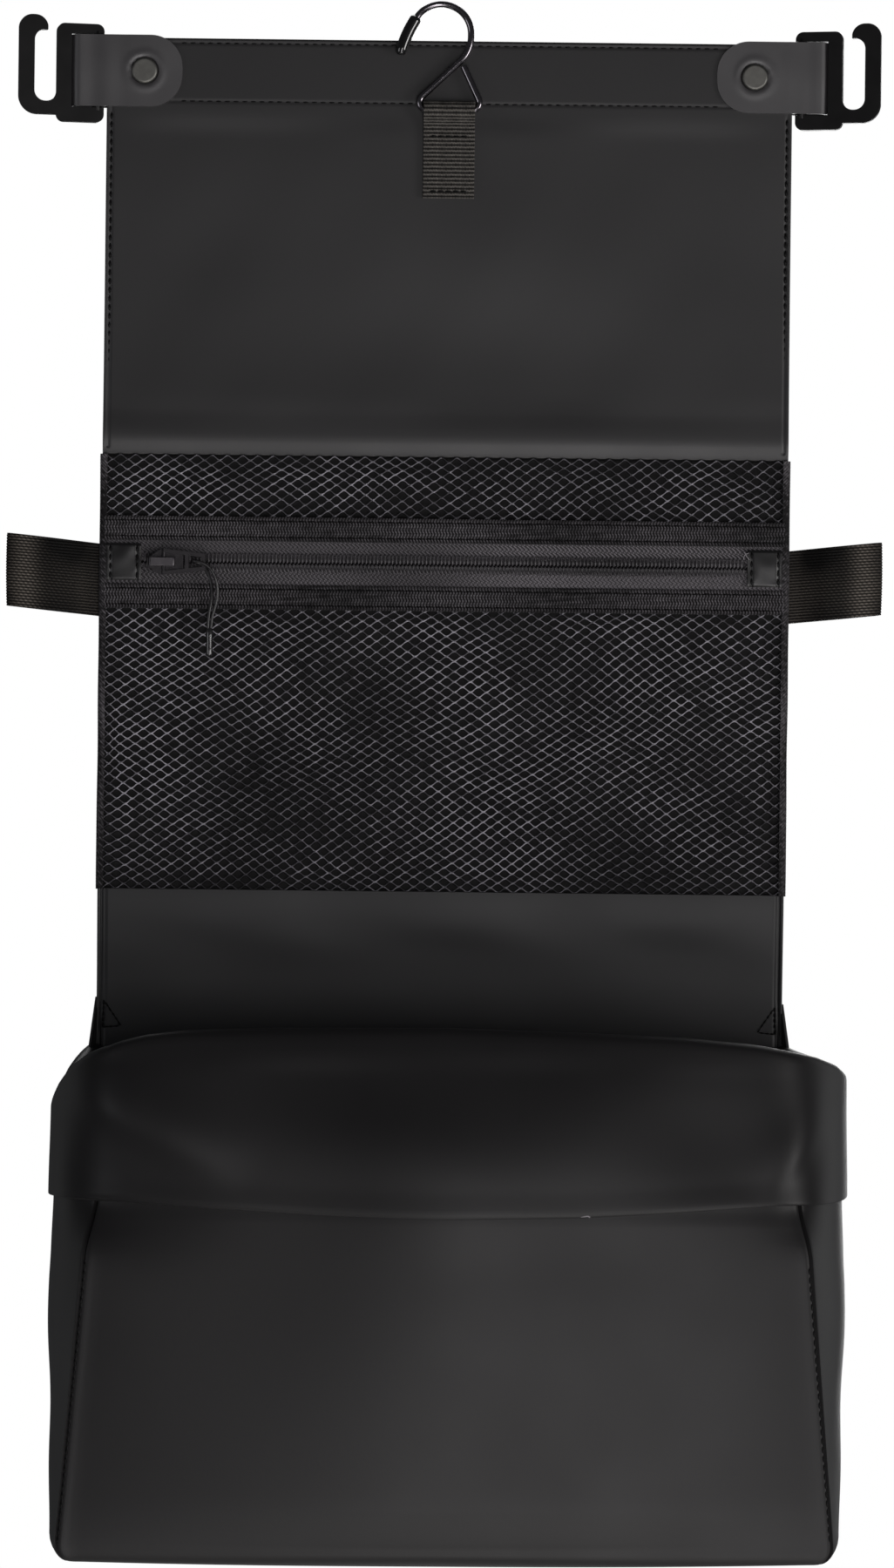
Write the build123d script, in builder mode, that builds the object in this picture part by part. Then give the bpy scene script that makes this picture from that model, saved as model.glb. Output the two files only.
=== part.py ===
from build123d import *
import os
from math import atan2, cos, degrees, radians, sin, tan

# Hanging toiletry bag, hanging open.  Millimetres, +Z up, the front faces -Y.
# The origin is the inner surface of the wire hook's crown, on the bag's centre plane.

# ---- wire hanging hook: one bent wire in the plane Y = 0 ----
wire_diameter = 2.3
crown_radius = 10.2  # to the wire's centre line
crown_centre_x = -3.0
crown_left_angle = 146.5  # where the crown runs out into the tip
tip_radius = 40.0
tip_length = 14.3
stem_bend_radius = 12.5
eye_bar_z = -34.8
eye_bend_radius = 2.7
eye_left_corner_x = -14.4  # where the stem's line meets the bar's line
eye_right_corner_x = 11.85
short_leg_end_x = 4.74
short_leg_end_z = -19.7
sleeve_diameter = 4.2
sleeve_cover = 2.0  # sleeve beyond the wire's end

# ---- ribbed webbing tab that holds the hook ----
tab_width = 17.6
tab_thickness = 1.2
tab_bar_clearance = 0.75  # between the bar and the inside of the fold
tab_bottom_z = -64.8
tab_close_angle = 50  # how steeply the front leg closes under the bar
tab_close_radius = 3.0
layer_gap = 0.1  # between sewn layers of one piece

# ---- top panel ----
panel_width = 236.0
panel_top_z = -10.5
fold_upper_z = -153.9
skin = 0.9
stiffener_thickness = 2.0
stiffener_top_z = -12.5
stiffener_bottom_z = -35.0
hem_slope_end_z = -44.0
joint_gap = 0.3  # between fabric on the two sides of a fold

# ---- straps and rivets ----
strap_centre_z = -22.0
strap_width = 24.6
strap_thickness = 1.3
strap_sewn_length = 26.0  # on the panel, inward from its side
strap_inner_radius = 10.0
strap_fold_reach = 8.9  # centre of the fold's half round, beyond the panel's side
rivet_inset = 13.0
rivet_cap_diameter = 9.0
rivet_cap_height = 1.1
rivet_shank_diameter = 3.0
rivet_clearance = 0.1
washer_diameter = 8.0
washer_thickness = 0.8

# ---- buckle hooks, in the plate's own plane: u outward, v up ----
hook_bar_reach = 3.5  # bar's centre beyond the panel's side
hook_rest_turn = 12  # how far the plate is swung forward at rest
hook_plate = 3.0
hook_bar_diameter = 3.2
hook_inner_u = -2.2
slot_outer_u = 9.1
slot_clearance = 0.4  # above and below the strap
mid_bar_u = 14.1
webbing_gap = 7.8
outer_arm = 5.4
frame_top_bar = 3.3
frame_bottom_bar = 5.1
arm_top_rise = 2.6  # outer arm above the frame's top
arm_bottom_rise = 2.2
gap_bottom_bar = 4.6
gap_top_bar = 5.0
tip_opening = 3.2

# ---- middle panel with the zipped mesh pocket ----
mesh_bottom_z = -303.9
mesh_thickness = 0.6
pocket_depth = 1.7  # the empty pocket's inside gap
binding_thickness = 0.65
zip_centre_z = -191.2
binding_height = 8.4
zip_opening_height = 15.0  # between the two ribbed bindings
binding_side_gap = 5.2  # from the panel's side to the binding's end
tape_overlap = 5.5  # tape under each binding
teeth_height = 2.5
teeth_thickness = 1.95
teeth_gap = 1.0  # between the two rows, where the slider's post runs
teeth_side_gap = 14.2  # from the panel's side to the last tooth
patch_length = 11.8
patch_side_gap = 2.0
patch_height = 12.6
patch_thickness = 0.75
edge_binding_leg = 5.0
edge_binding_thickness = 0.7

# ---- slider, crown and puller, at the zip's left end ----
slider_end_gap = 1.6  # from the zip's closed end
slider_length = 12.6
slider_width = 9.0
slider_plate = 1.0
slider_clearance = 0.3
slider_post_thickness = 0.5
crown_inset = 0.8  # from the slider's pointed end
crown_length = 9.1
crown_width = 2.9
crown_leg = 1.3
crown_bridge = 0.9
crown_room = 1.9  # from the slider's face to the underside of the bridge
puller_hinge_inset = 5.9  # from the slider's pointed end
puller_length = 14.4
puller_bail_diameter = 1.2
puller_plate = 1.2
puller_wide = 9.0
puller_narrow = 5.7
puller_rail = 1.3
puller_end_bar = 1.2
puller_cross_place = 8.0  # middle of the cross bar, from the hinge
puller_cross_bar = 1.3

# ---- pull cord and its tip ----
cord_diameter = 1.0
cord_tip_diameter = 2.4
cord_tip_length = 9.6
cord_tip_x = -80.3
cord_tip_y = -3.3
cord_tip_z = -213.9
cord_route = [
    (-80.85, -3.3, -213.9),
    (-80.7, -3.3, -209.6),
    (-79.7, -3.0, -204.3),
    (-79.6, -2.5, -199.2),
    (-81.0, -2.05, -194.6),
    (-83.8, -1.95, -191.6),
    (-86.3, -2.5, -190.9),
    (-86.3, -4.5, -190.9),
    (-84.0, -5.1, -191.1),
    (-80.6, -5.0, -192.6),
    (-78.2, -4.6, -196.6),
    (-77.4, -4.1, -201.6),
    (-78.3, -3.6, -206.4),
    (-79.6, -3.3, -210.2),
    (-79.75, -3.3, -213.9),
]
arc_share = 0.45  # share of the shorter run that each arc takes

# ---- side webbing loops, along their own outward line ----
loop_centre_z = -197.4
loop_tilt = 6
loop_width = 25.0
loop_thickness = 1.4
loop_root = 12.0
loop_reach = 31.0  # middle of the fold beyond the panel's edge
loop_front_y = 2.4
loop_back_y = 11.0

# ---- lower panel and pouch ----
fold_mouth_z = -340.0
pouch_bottom_z = -518.0
pouch_depth = 110.0
wall = 1.5
base_thickness = 2.0
rim_front_z = -348.5
rim_side_z = -380.0
rim_flat_inset = 26.0  # from the panel's side to where the rim starts to dip
rim_side_reach = 16.0
cuff_bottom_z = -405.5
cuff_thickness = 1.8
cuff_gap = 0.4
pouch_top_z = fold_mouth_z - joint_gap / 2
pouch_middle_z = -430.0
back_reach = (0.0, 2.5, 4.0)  # beyond the panel's side, at the top, middle and bottom
front_reach = (-7.5, 0.0, 7.5)
gusset_reach = (12.5, 14.2, 12.0)  # at half depth

# ---- places worked out from the sizes above ----
wire_radius = wire_diameter / 2
crown_inner = crown_radius - wire_radius
crown_centre_z = -((crown_inner**2 - crown_centre_x**2) ** 0.5)
panel_half = panel_width / 2
tab_fold_radius = wire_radius + tab_bar_clearance  # inside of the fold round the bar
front_y = tab_fold_radius + tab_thickness  # face of the panel's front skin
lining_y = front_y + skin  # between the two skins
back_y = front_y + 2 * skin
hem_back_y = front_y + 2 * skin + stiffener_thickness
strap_middle_y = (front_y + hem_back_y) / 2
strap_leg_y = front_y - strap_thickness / 2
strap_fold_radius = strap_middle_y - strap_leg_y
strap_inner_x = panel_half - strap_sewn_length
strap_fold_x = panel_half + strap_fold_reach
rivet_x = panel_half - rivet_inset
hook_bar_x = panel_half + hook_bar_reach
slot_half_height = strap_width / 2 + slot_clearance
frame_top_v = slot_half_height + frame_top_bar
frame_bottom_v = -slot_half_height - frame_bottom_bar
arm_top_v = frame_top_v + arm_top_rise
arm_bottom_v = frame_bottom_v + arm_bottom_rise
gap_bottom_v = arm_bottom_v + gap_bottom_bar
gap_top_v = arm_top_v - gap_top_bar
binding_half_length = panel_half - binding_side_gap
teeth_half_length = panel_half - teeth_side_gap
patch_outer_x = panel_half - patch_side_gap
patch_inner_x = patch_outer_x - patch_length
slider_left_x = -teeth_half_length + slider_end_gap
crown_left_x = slider_left_x + crown_inset
puller_hinge_x = slider_left_x + puller_hinge_inset
puller_end_x = puller_hinge_x + puller_length
puller_cross_x = puller_hinge_x + puller_cross_place
mesh_back_y = front_y - pocket_depth
mesh_front_y = mesh_back_y - mesh_thickness
cover_back_y = mesh_front_y - layer_gap / 2
cover_front_y = cover_back_y - binding_thickness
teeth_front_y = cover_back_y - teeth_thickness
upper_panel_end_z = fold_upper_z + joint_gap / 2
middle_panel_top_z = fold_upper_z - joint_gap / 2
zip_upper_z = zip_centre_z + zip_opening_height / 2
zip_lower_z = zip_centre_z - zip_opening_height / 2
slider_face_y = teeth_front_y - slider_clearance - slider_plate
bail_y = slider_face_y - crown_room / 2
loop_root_y = back_y + edge_binding_thickness + loop_thickness / 2 + layer_gap
pouch_front_y = back_y - pouch_depth
cuff_outer = cuff_gap + cuff_thickness
rim_flat_half_width = panel_half - rim_flat_inset
rim_side_half_width = panel_half + rim_side_reach


def slab(x_low, x_high, y_front, y_back, z_low, z_high):
    """Adds a flat rectangular layer to the part being built."""
    with BuildSketch(Plane.XY.offset(z_low)) as outline:
        with Locations(((x_low + x_high) / 2, (y_front + y_back) / 2)):
            Rectangle(x_high - x_low, y_back - y_front)
    extrude(outline.sketch, amount=z_high - z_low)


def hole_along_y(x, z, radius):
    """Cuts a round hole right through the part being built, front to back."""
    with BuildSketch(Plane.XZ) as outline:
        with Locations((x, z)):
            Circle(radius)
    extrude(outline.sketch, amount=pouch_depth, both=True, mode=Mode.SUBTRACT)


def rivet_holes():
    """Cuts the holes that the two rivets pass through."""
    for side in (-1, 1):
        hole_along_y(side * rivet_x, strap_centre_z, rivet_shank_diameter / 2 + rivet_clearance)


def save(builder, name):
    """Labels a finished piece and writes it."""
    builder.part.label = name
    export_step(builder.part, f"parts/{name}.step")


def save_mirrored(piece, name):
    """Writes the right-hand copy of a left-hand piece."""
    with BuildPart() as copy:
        mirror(piece, about=Plane.YZ)
    save(copy, name)


os.makedirs("parts", exist_ok=True)

# ======== hanger ========
crown_left = (
    crown_centre_x + crown_radius * cos(radians(crown_left_angle)),
    crown_centre_z + crown_radius * sin(radians(crown_left_angle)),
)
crown_left_heading = (-sin(radians(crown_left_angle)), cos(radians(crown_left_angle)))
tip_turn = degrees(tip_length / tip_radius)
wire_turn = degrees((tip_length - sleeve_cover) / tip_radius)
stem_x = crown_centre_x + crown_radius
# The stem's bend starts where the crown ends, and its line runs on to the eye's left corner.
# Each pass of the loop brings the corner nearer to where both hold.
stem_corner_z = crown_centre_z - stem_bend_radius / 2
for _ in range(30):
    stem_turn = atan2(stem_x - eye_left_corner_x, stem_corner_z - eye_bar_z)
    stem_corner_z = crown_centre_z - stem_bend_radius * tan(stem_turn / 2)

with BuildPart() as hanger_hook:
    with BuildLine(Plane.XZ) as crown_path:
        CenterArc((crown_centre_x, crown_centre_z), crown_radius, 0, crown_left_angle)
    with BuildSketch(Plane(origin=crown_path.wire() @ 0, z_dir=crown_path.wire() % 0)):
        Circle(wire_radius)
    sweep()
    with BuildLine(Plane.XZ) as tip_path:
        JernArc(crown_left, crown_left_heading, tip_radius, wire_turn)
    with BuildSketch(Plane(origin=tip_path.wire() @ 0, z_dir=tip_path.wire() % 0)):
        Circle(wire_radius)
    sweep()
    with BuildLine(Plane.XZ) as stem_path:
        FilletPolyline(
            (stem_x, crown_centre_z),
            (stem_x, stem_corner_z),
            (eye_left_corner_x, eye_bar_z),
            (eye_right_corner_x, eye_bar_z),
            (short_leg_end_x, short_leg_end_z),
            radius=[stem_bend_radius * 0.999, eye_bend_radius, eye_bend_radius],
        )
    with BuildSketch(Plane(origin=stem_path.wire() @ 0, z_dir=stem_path.wire() % 0)):
        Circle(wire_radius)
    sweep()
save(hanger_hook, "hanger_hook")

with BuildPart() as hanger_tip:
    with BuildLine(Plane.XZ) as sleeve_path:
        JernArc(crown_left, crown_left_heading, tip_radius, tip_turn)
    with BuildSketch(Plane(origin=sleeve_path.wire() @ 0, z_dir=sleeve_path.wire() % 0)):
        Circle(sleeve_diameter / 2)
    sweep()
    fillet(edges().sort_by(Axis.Z)[0], radius=sleeve_diameter / 2 - 0.3)
    with BuildLine(Plane.XZ) as bore_path:
        JernArc(crown_left, crown_left_heading, tip_radius, wire_turn)
    with BuildSketch(Plane(origin=bore_path.wire() @ 0, z_dir=bore_path.wire() % 0)):
        Circle(wire_radius)
    sweep(mode=Mode.SUBTRACT)
save(hanger_tip, "hanger_tip")

# ======== top panel ========
with BuildPart() as top_panel_front:
    slab(-panel_half, panel_half, front_y, lining_y, upper_panel_end_z, panel_top_z)
    rivet_holes()
save(top_panel_front, "top_panel_front")

# The back skin stands off over the stiffener and slopes in to the front skin below it.
with BuildPart() as top_panel_back:
    with BuildSketch(Plane.YZ.offset(-panel_half)):
        with BuildLine():
            Polyline(
                (hem_back_y - skin, panel_top_z),
                (hem_back_y, panel_top_z),
                (hem_back_y, stiffener_bottom_z),
                (back_y, hem_slope_end_z),
                (back_y, upper_panel_end_z),
                (lining_y, upper_panel_end_z),
                (lining_y, hem_slope_end_z),
                (hem_back_y - skin, stiffener_bottom_z),
                close=True,
            )
        make_face()
    extrude(amount=panel_width)
    rivet_holes()
save(top_panel_back, "top_panel_back")

with BuildPart() as hem_stiffener:
    slab(
        -panel_half + skin,
        panel_half - skin,
        lining_y,
        hem_back_y - skin,
        stiffener_bottom_z,
        stiffener_top_z,
    )
    rivet_holes()
save(hem_stiffener, "hem_stiffener")

# The tab goes up behind the eye's bar, over it, and closes under it onto its own back leg.
tab_centre_radius = tab_fold_radius + tab_thickness / 2
tab_front_leg_y = tab_centre_radius - tab_thickness - layer_gap
with BuildPart() as hanger_tab:
    with BuildLine(Plane.YZ) as tab_path:
        Line((tab_centre_radius, tab_bottom_z), (tab_centre_radius, eye_bar_z))
        JernArc(
            start=(tab_centre_radius, eye_bar_z),
            tangent=(0, 1),
            radius=tab_centre_radius,
            arc_size=180 + tab_close_angle,
        )
        fold_end_y = -tab_centre_radius * cos(radians(tab_close_angle))
        fold_end_z = eye_bar_z - tab_centre_radius * sin(radians(tab_close_angle))
        close_shift = tab_close_radius * (1 - cos(radians(tab_close_angle)))
        slant_y = tab_front_leg_y - close_shift
        slant_z = fold_end_z - (slant_y - fold_end_y) / tan(radians(tab_close_angle))
        Line((fold_end_y, fold_end_z), (slant_y, slant_z))
        JernArc(
            start=(slant_y, slant_z),
            tangent=(sin(radians(tab_close_angle)), -cos(radians(tab_close_angle))),
            radius=tab_close_radius,
            arc_size=-tab_close_angle,
        )
        leg_top_z = slant_z - tab_close_radius * sin(radians(tab_close_angle))
        Line((tab_front_leg_y, leg_top_z), (tab_front_leg_y, tab_bottom_z))
    with BuildSketch(Plane(origin=tab_path.wire() @ 0, x_dir=(1, 0, 0), z_dir=(0, 0, 1))):
        Rectangle(tab_width, tab_thickness)
    sweep()
save(hanger_tab, "hanger_tab")

with BuildPart() as left_strap:
    with BuildLine(Plane.XY.offset(strap_centre_z)) as strap_path:
        Line((-strap_inner_x, strap_leg_y), (-strap_fold_x, strap_leg_y))
        JernArc(
            start=(-strap_fold_x, strap_leg_y),
            tangent=(-1, 0),
            radius=strap_fold_radius,
            arc_size=-180,
        )
        back_leg_y = strap_middle_y + strap_fold_radius
        Line((-strap_fold_x, back_leg_y), (-strap_inner_x, back_leg_y))
    with BuildSketch(Plane(origin=strap_path.wire() @ 0, x_dir=(0, 0, 1), z_dir=(-1, 0, 0))):
        Rectangle(strap_width, strap_thickness)
    sweep()
    fillet(edges().filter_by(Axis.Y).group_by(Axis.X)[-1], radius=strap_inner_radius)
    rivet_holes()
save(left_strap, "left_strap")
save_mirrored(left_strap.part, "right_strap")

# The rivet's cap sits on the strap's front leg, and its washer behind the back leg.
cap_seat_y = front_y - strap_thickness
washer_seat_y = hem_back_y + strap_thickness
with BuildPart() as left_rivet:
    with BuildSketch(Plane.XZ.offset(-cap_seat_y)):
        with Locations((-rivet_x, strap_centre_z)):
            Circle(rivet_cap_diameter / 2)
    extrude(amount=rivet_cap_height)
    fillet(edges().sort_by(Axis.Y)[0], radius=rivet_cap_height * 0.8)
    with BuildSketch(Plane.XZ.offset(-cap_seat_y)):
        with Locations((-rivet_x, strap_centre_z)):
            Circle(rivet_shank_diameter / 2)
    extrude(amount=-(washer_seat_y - cap_seat_y))
save(left_rivet, "left_rivet")
save_mirrored(left_rivet.part, "right_rivet")

with BuildPart() as left_rivet_washer:
    with BuildSketch(Plane.XZ.offset(-washer_seat_y - washer_thickness)):
        with Locations((-rivet_x, strap_centre_z)):
            Circle(washer_diameter / 2)
    extrude(amount=washer_thickness)
    fillet(edges().sort_by(Axis.Y)[-1], radius=washer_thickness * 0.6)
save(left_rivet_washer, "left_rivet_washer")
save_mirrored(left_rivet_washer.part, "right_rivet_washer")

# ======== buckle hooks ========
turn = radians(hook_rest_turn)
hook_outward = (-cos(turn), -sin(turn), 0)
hook_normal = (-sin(turn), cos(turn), 0)
hook_origin = (-hook_bar_x, strap_middle_y, strap_centre_z)
hook_plane = Plane(origin=hook_origin, x_dir=hook_outward, z_dir=hook_normal)
gap_outer_u = mid_bar_u + webbing_gap
hook_outer_u = gap_outer_u + outer_arm
hook_up = 1 if hook_plane.y_dir.Z > 0 else -1


def plate_box(u_low, u_high, v_low, v_high, corner=0.0):
    """Draws a rectangle in the plate's plane, with every corner rounded."""
    centre_v = hook_up * (v_low + v_high) / 2
    with Locations(((u_low + u_high) / 2, centre_v)):
        if corner:
            RectangleRounded(u_high - u_low, v_high - v_low, corner)
        else:
            Rectangle(u_high - u_low, v_high - v_low)


def cut_box(u_low, u_high, v_low, v_high, corner=0.0):
    """Cuts a rectangle from the plate's outline."""
    centre_v = hook_up * (v_low + v_high) / 2
    with Locations(((u_low + u_high) / 2, centre_v)):
        if corner:
            RectangleRounded(u_high - u_low, v_high - v_low, corner, mode=Mode.SUBTRACT)
        else:
            Rectangle(u_high - u_low, v_high - v_low, mode=Mode.SUBTRACT)


with BuildPart() as left_g_hook:
    with BuildSketch(hook_plane):
        plate_box(hook_inner_u, mid_bar_u, frame_bottom_v, frame_top_v, 2.6)
        plate_box(mid_bar_u - 8, hook_outer_u, arm_bottom_v, arm_top_v - 8, 6.5)
        plate_box(gap_outer_u - 4.7, hook_outer_u, 0, arm_top_v, 4.6)
        cut_box(mid_bar_u, gap_outer_u, gap_bottom_v, gap_top_v, webbing_gap / 2 - 0.2)
        cut_box(mid_bar_u, mid_bar_u + tip_opening, gap_bottom_v + 8, arm_top_v + 1)
        cut_box(hook_inner_u - 1, slot_outer_u, -slot_half_height, slot_half_height)
    extrude(amount=hook_plate / 2, both=True)
    fillet(edges().filter_by(GeomType.LINE).filter_by(Axis.Z).group_by(Axis.X)[0], radius=1.0)
    bar_plane = Plane(origin=(-hook_bar_x, strap_middle_y, strap_centre_z - slot_half_height - 1))
    with BuildSketch(bar_plane):
        Circle(hook_bar_diameter / 2)
    extrude(amount=2 * slot_half_height + 2)
save(left_g_hook, "left_g_hook")
save_mirrored(left_g_hook.part, "right_g_hook")

# ======== middle panel ========
with BuildPart() as mid_back_panel:
    slab(-panel_half, panel_half, lining_y, back_y, mesh_bottom_z, middle_panel_top_z)
save(mid_back_panel, "mid_back_panel")

with BuildPart() as mid_lining:
    slab(-panel_half, panel_half, front_y, lining_y, mesh_bottom_z, middle_panel_top_z)
save(mid_lining, "mid_lining")

tape_top_z = zip_upper_z + tape_overlap
tape_bottom_z = zip_lower_z - tape_overlap
with BuildPart() as mesh_upper:
    slab(-panel_half, panel_half, mesh_front_y, mesh_back_y, tape_top_z, middle_panel_top_z)
save(mesh_upper, "mesh_upper")

with BuildPart() as mesh_lower:
    slab(-panel_half, panel_half, mesh_front_y, mesh_back_y, mesh_bottom_z, tape_bottom_z)
save(mesh_lower, "mesh_lower")

tape_edge = teeth_gap / 2
with BuildPart() as zip_tape_upper:
    slab(
        -binding_half_length,
        binding_half_length,
        mesh_front_y,
        mesh_back_y,
        zip_centre_z + tape_edge,
        tape_top_z,
    )
save(zip_tape_upper, "zip_tape_upper")

with BuildPart() as zip_tape_lower:
    slab(
        -binding_half_length,
        binding_half_length,
        mesh_front_y,
        mesh_back_y,
        tape_bottom_z,
        zip_centre_z - tape_edge,
    )
save(zip_tape_lower, "zip_tape_lower")

with BuildPart() as zip_binding_upper:
    slab(
        -binding_half_length,
        binding_half_length,
        cover_front_y,
        cover_back_y,
        zip_upper_z,
        zip_upper_z + binding_height,
    )
save(zip_binding_upper, "zip_binding_upper")

with BuildPart() as zip_binding_lower:
    slab(
        -binding_half_length,
        binding_half_length,
        cover_front_y,
        cover_back_y,
        zip_lower_z - binding_height,
        zip_lower_z,
    )
save(zip_binding_lower, "zip_binding_lower")

with BuildPart() as zip_teeth_upper:
    slab(
        -teeth_half_length,
        teeth_half_length,
        teeth_front_y,
        cover_back_y,
        zip_centre_z + tape_edge,
        zip_centre_z + tape_edge + teeth_height,
    )
save(zip_teeth_upper, "zip_teeth_upper")

with BuildPart() as zip_teeth_lower:
    slab(
        -teeth_half_length,
        teeth_half_length,
        teeth_front_y,
        cover_back_y,
        zip_centre_z - tape_edge - teeth_height,
        zip_centre_z - tape_edge,
    )
save(zip_teeth_lower, "zip_teeth_lower")

with BuildPart() as zip_patch_left:
    slab(
        -patch_outer_x,
        -patch_inner_x,
        cover_front_y - layer_gap - patch_thickness,
        cover_front_y - layer_gap,
        zip_centre_z - patch_height / 2,
        zip_centre_z + patch_height / 2,
    )
save(zip_patch_left, "zip_patch_left")
save_mirrored(zip_patch_left.part, "zip_patch_right")

# The edge binding is a channel that wraps the panel's side from the mesh to the back skin.
channel_outer_x = panel_half + layer_gap + edge_binding_thickness
channel_inner_x = panel_half - edge_binding_leg
with BuildPart() as left_edge_binding:
    slab(
        -channel_outer_x,
        -channel_inner_x,
        cover_front_y,
        back_y + edge_binding_thickness,
        mesh_bottom_z,
        middle_panel_top_z,
    )
    with BuildSketch(Plane.XY.offset(mesh_bottom_z)):
        with Locations((-(panel_half + layer_gap) / 2, (cover_back_y + back_y) / 2)):
            Rectangle(panel_half + layer_gap, back_y - cover_back_y)
    extrude(amount=middle_panel_top_z - mesh_bottom_z, mode=Mode.SUBTRACT)
save(left_edge_binding, "left_edge_binding")
save_mirrored(left_edge_binding.part, "right_edge_binding")

# Each side loop starts behind the panel's edge, goes out, and comes back behind itself.
tilt = radians(loop_tilt)
loop_plane = Plane(
    origin=(-panel_half, 0, loop_centre_z),
    x_dir=(-cos(tilt), 0, sin(tilt)),
    z_dir=(-sin(tilt), 0, -cos(tilt)),
)
loop_return_y = loop_root_y + loop_thickness + layer_gap
with BuildPart() as left_loop:
    with BuildLine(loop_plane) as loop_path:
        FilletPolyline(
            (-loop_root, loop_root_y),
            (2.5, loop_root_y),
            (15.0, loop_front_y),
            (loop_reach + 1.2, loop_front_y + 1.0),
            (loop_reach + 1.2, loop_back_y - 1.0),
            (15.0, loop_back_y),
            (3.5, loop_return_y),
            (-loop_root, loop_return_y),
            radius=[7.0, 12.0, 3.2, 3.2, 12.0, 7.0],
        )
    root = loop_path.wire() @ 0
    with BuildSketch(Plane(root, x_dir=(-sin(tilt), 0, -cos(tilt)), z_dir=loop_path.wire() % 0)):
        Rectangle(loop_width, loop_thickness)
    sweep()
save(left_loop, "left_loop")
save_mirrored(left_loop.part, "right_loop")

with BuildPart() as lower_panel:
    slab(-panel_half, panel_half, front_y, back_y, fold_mouth_z + joint_gap / 2, mesh_bottom_z)
save(lower_panel, "lower_panel")

# ======== zip slider, crown, puller ========
slider_right_x = slider_left_x + slider_length
nose_length = slider_length * 0.38
with BuildPart() as zip_slider:
    # front plate, pointed towards the end of the zip
    with BuildSketch(Plane.XZ.offset(-slider_face_y - slider_plate)):
        with BuildLine():
            Polyline(
                (slider_left_x, zip_centre_z - 1.2),
                (slider_left_x + nose_length, zip_centre_z - slider_width / 2),
                (slider_right_x, zip_centre_z - slider_width * 0.36),
                (slider_right_x, zip_centre_z + slider_width * 0.36),
                (slider_left_x + nose_length, zip_centre_z + slider_width / 2),
                (slider_left_x, zip_centre_z + 1.2),
                close=True,
            )
        make_face()
    extrude(amount=slider_plate)
    # post between the two rows of teeth, and the back plate inside the pocket
    slab(
        slider_left_x,
        slider_left_x + nose_length,
        slider_face_y + slider_plate,
        mesh_back_y + slider_clearance,
        zip_centre_z - slider_post_thickness / 2,
        zip_centre_z + slider_post_thickness / 2,
    )
    slab(
        slider_left_x,
        slider_right_x,
        mesh_back_y + slider_clearance,
        mesh_back_y + slider_clearance + slider_plate,
        zip_centre_z - slider_width * 0.36,
        zip_centre_z + slider_width * 0.36,
    )
save(zip_slider, "zip_slider")

crown_right_x = crown_left_x + crown_length
bridge_y = slider_face_y - crown_room
with BuildPart() as slider_crown:
    slab(
        crown_left_x,
        crown_right_x,
        bridge_y - crown_bridge,
        slider_face_y,
        zip_centre_z - crown_width / 2,
        zip_centre_z + crown_width / 2,
    )
    fillet(edges().filter_by(Axis.Z).group_by(Axis.Y)[0], radius=0.8)
    with BuildSketch(Plane.XY.offset(zip_centre_z - crown_width)):
        with Locations(((crown_left_x + crown_right_x) / 2, slider_face_y - crown_room / 2)):
            Rectangle(crown_length - 2 * crown_leg, crown_room)
    extrude(amount=2 * crown_width, mode=Mode.SUBTRACT)
save(slider_crown, "slider_crown")


def puller_half_width(x):
    """Half the puller's width at a place along its length."""
    along = (x - puller_hinge_x) / (puller_end_x - puller_hinge_x)
    return (puller_wide + (puller_narrow - puller_wide) * along) / 2


with BuildPart() as zip_puller:
    with BuildSketch(Plane.XZ.offset(-bail_y - puller_plate / 2)):
        with BuildLine():
            Polyline(
                (puller_hinge_x, zip_centre_z - puller_wide / 2),
                (puller_end_x, zip_centre_z - puller_narrow / 2),
                (puller_end_x, zip_centre_z + puller_narrow / 2),
                (puller_hinge_x, zip_centre_z + puller_wide / 2),
                close=True,
            )
        make_face()
        # the window round the crown, and the window that the cord goes through
        for x_low, x_high in (
            (puller_hinge_x - 1, puller_cross_x - puller_cross_bar / 2),
            (puller_cross_x + puller_cross_bar / 2, puller_end_x - puller_end_bar),
        ):
            low_half = puller_half_width(x_low) - puller_rail
            high_half = puller_half_width(x_high) - puller_rail
            with BuildLine():
                Polyline(
                    (x_low, zip_centre_z - low_half),
                    (x_high, zip_centre_z - high_half),
                    (x_high, zip_centre_z + high_half),
                    (x_low, zip_centre_z + low_half),
                    close=True,
                )
            make_face(mode=Mode.SUBTRACT)
    extrude(amount=puller_plate)
    bail_plane = Plane(origin=(puller_hinge_x, bail_y, zip_centre_z - puller_wide / 2))
    with BuildSketch(bail_plane):
        Circle(puller_bail_diameter / 2)
    extrude(amount=puller_wide)
save(zip_puller, "zip_puller")

# ======== pull cord, one loop through the puller, both ends in the tip ========
route = [Vector(*point) for point in cord_route]
arc_radii = []
for before, corner, after in zip(route, route[1:], route[2:]):
    half_turn = radians((corner - before).get_angle(after - corner)) / 2
    shorter_run = min((corner - before).length, (after - corner).length)
    arc_radii.append(arc_share * shorter_run / tan(half_turn))
with BuildPart() as pull_cord:
    with BuildLine() as cord_path:
        FilletPolyline(*route, radius=arc_radii)
    with BuildSketch(Plane(origin=cord_path.wire() @ 0, z_dir=cord_path.wire() % 0)):
        Circle(cord_diameter / 2)
    sweep()
cord_length = cord_path.wire().length
cord_section = Circle(cord_diameter / 2, mode=Mode.PRIVATE).area
print("cord arc radii:", [round(radius, 2) for radius in arc_radii])
print("cord length:", round(cord_length, 2), "volume share:", end=" ")
print(round(pull_cord.part.volume / (cord_section * cord_length), 4))
save(pull_cord, "pull_cord")

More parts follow.
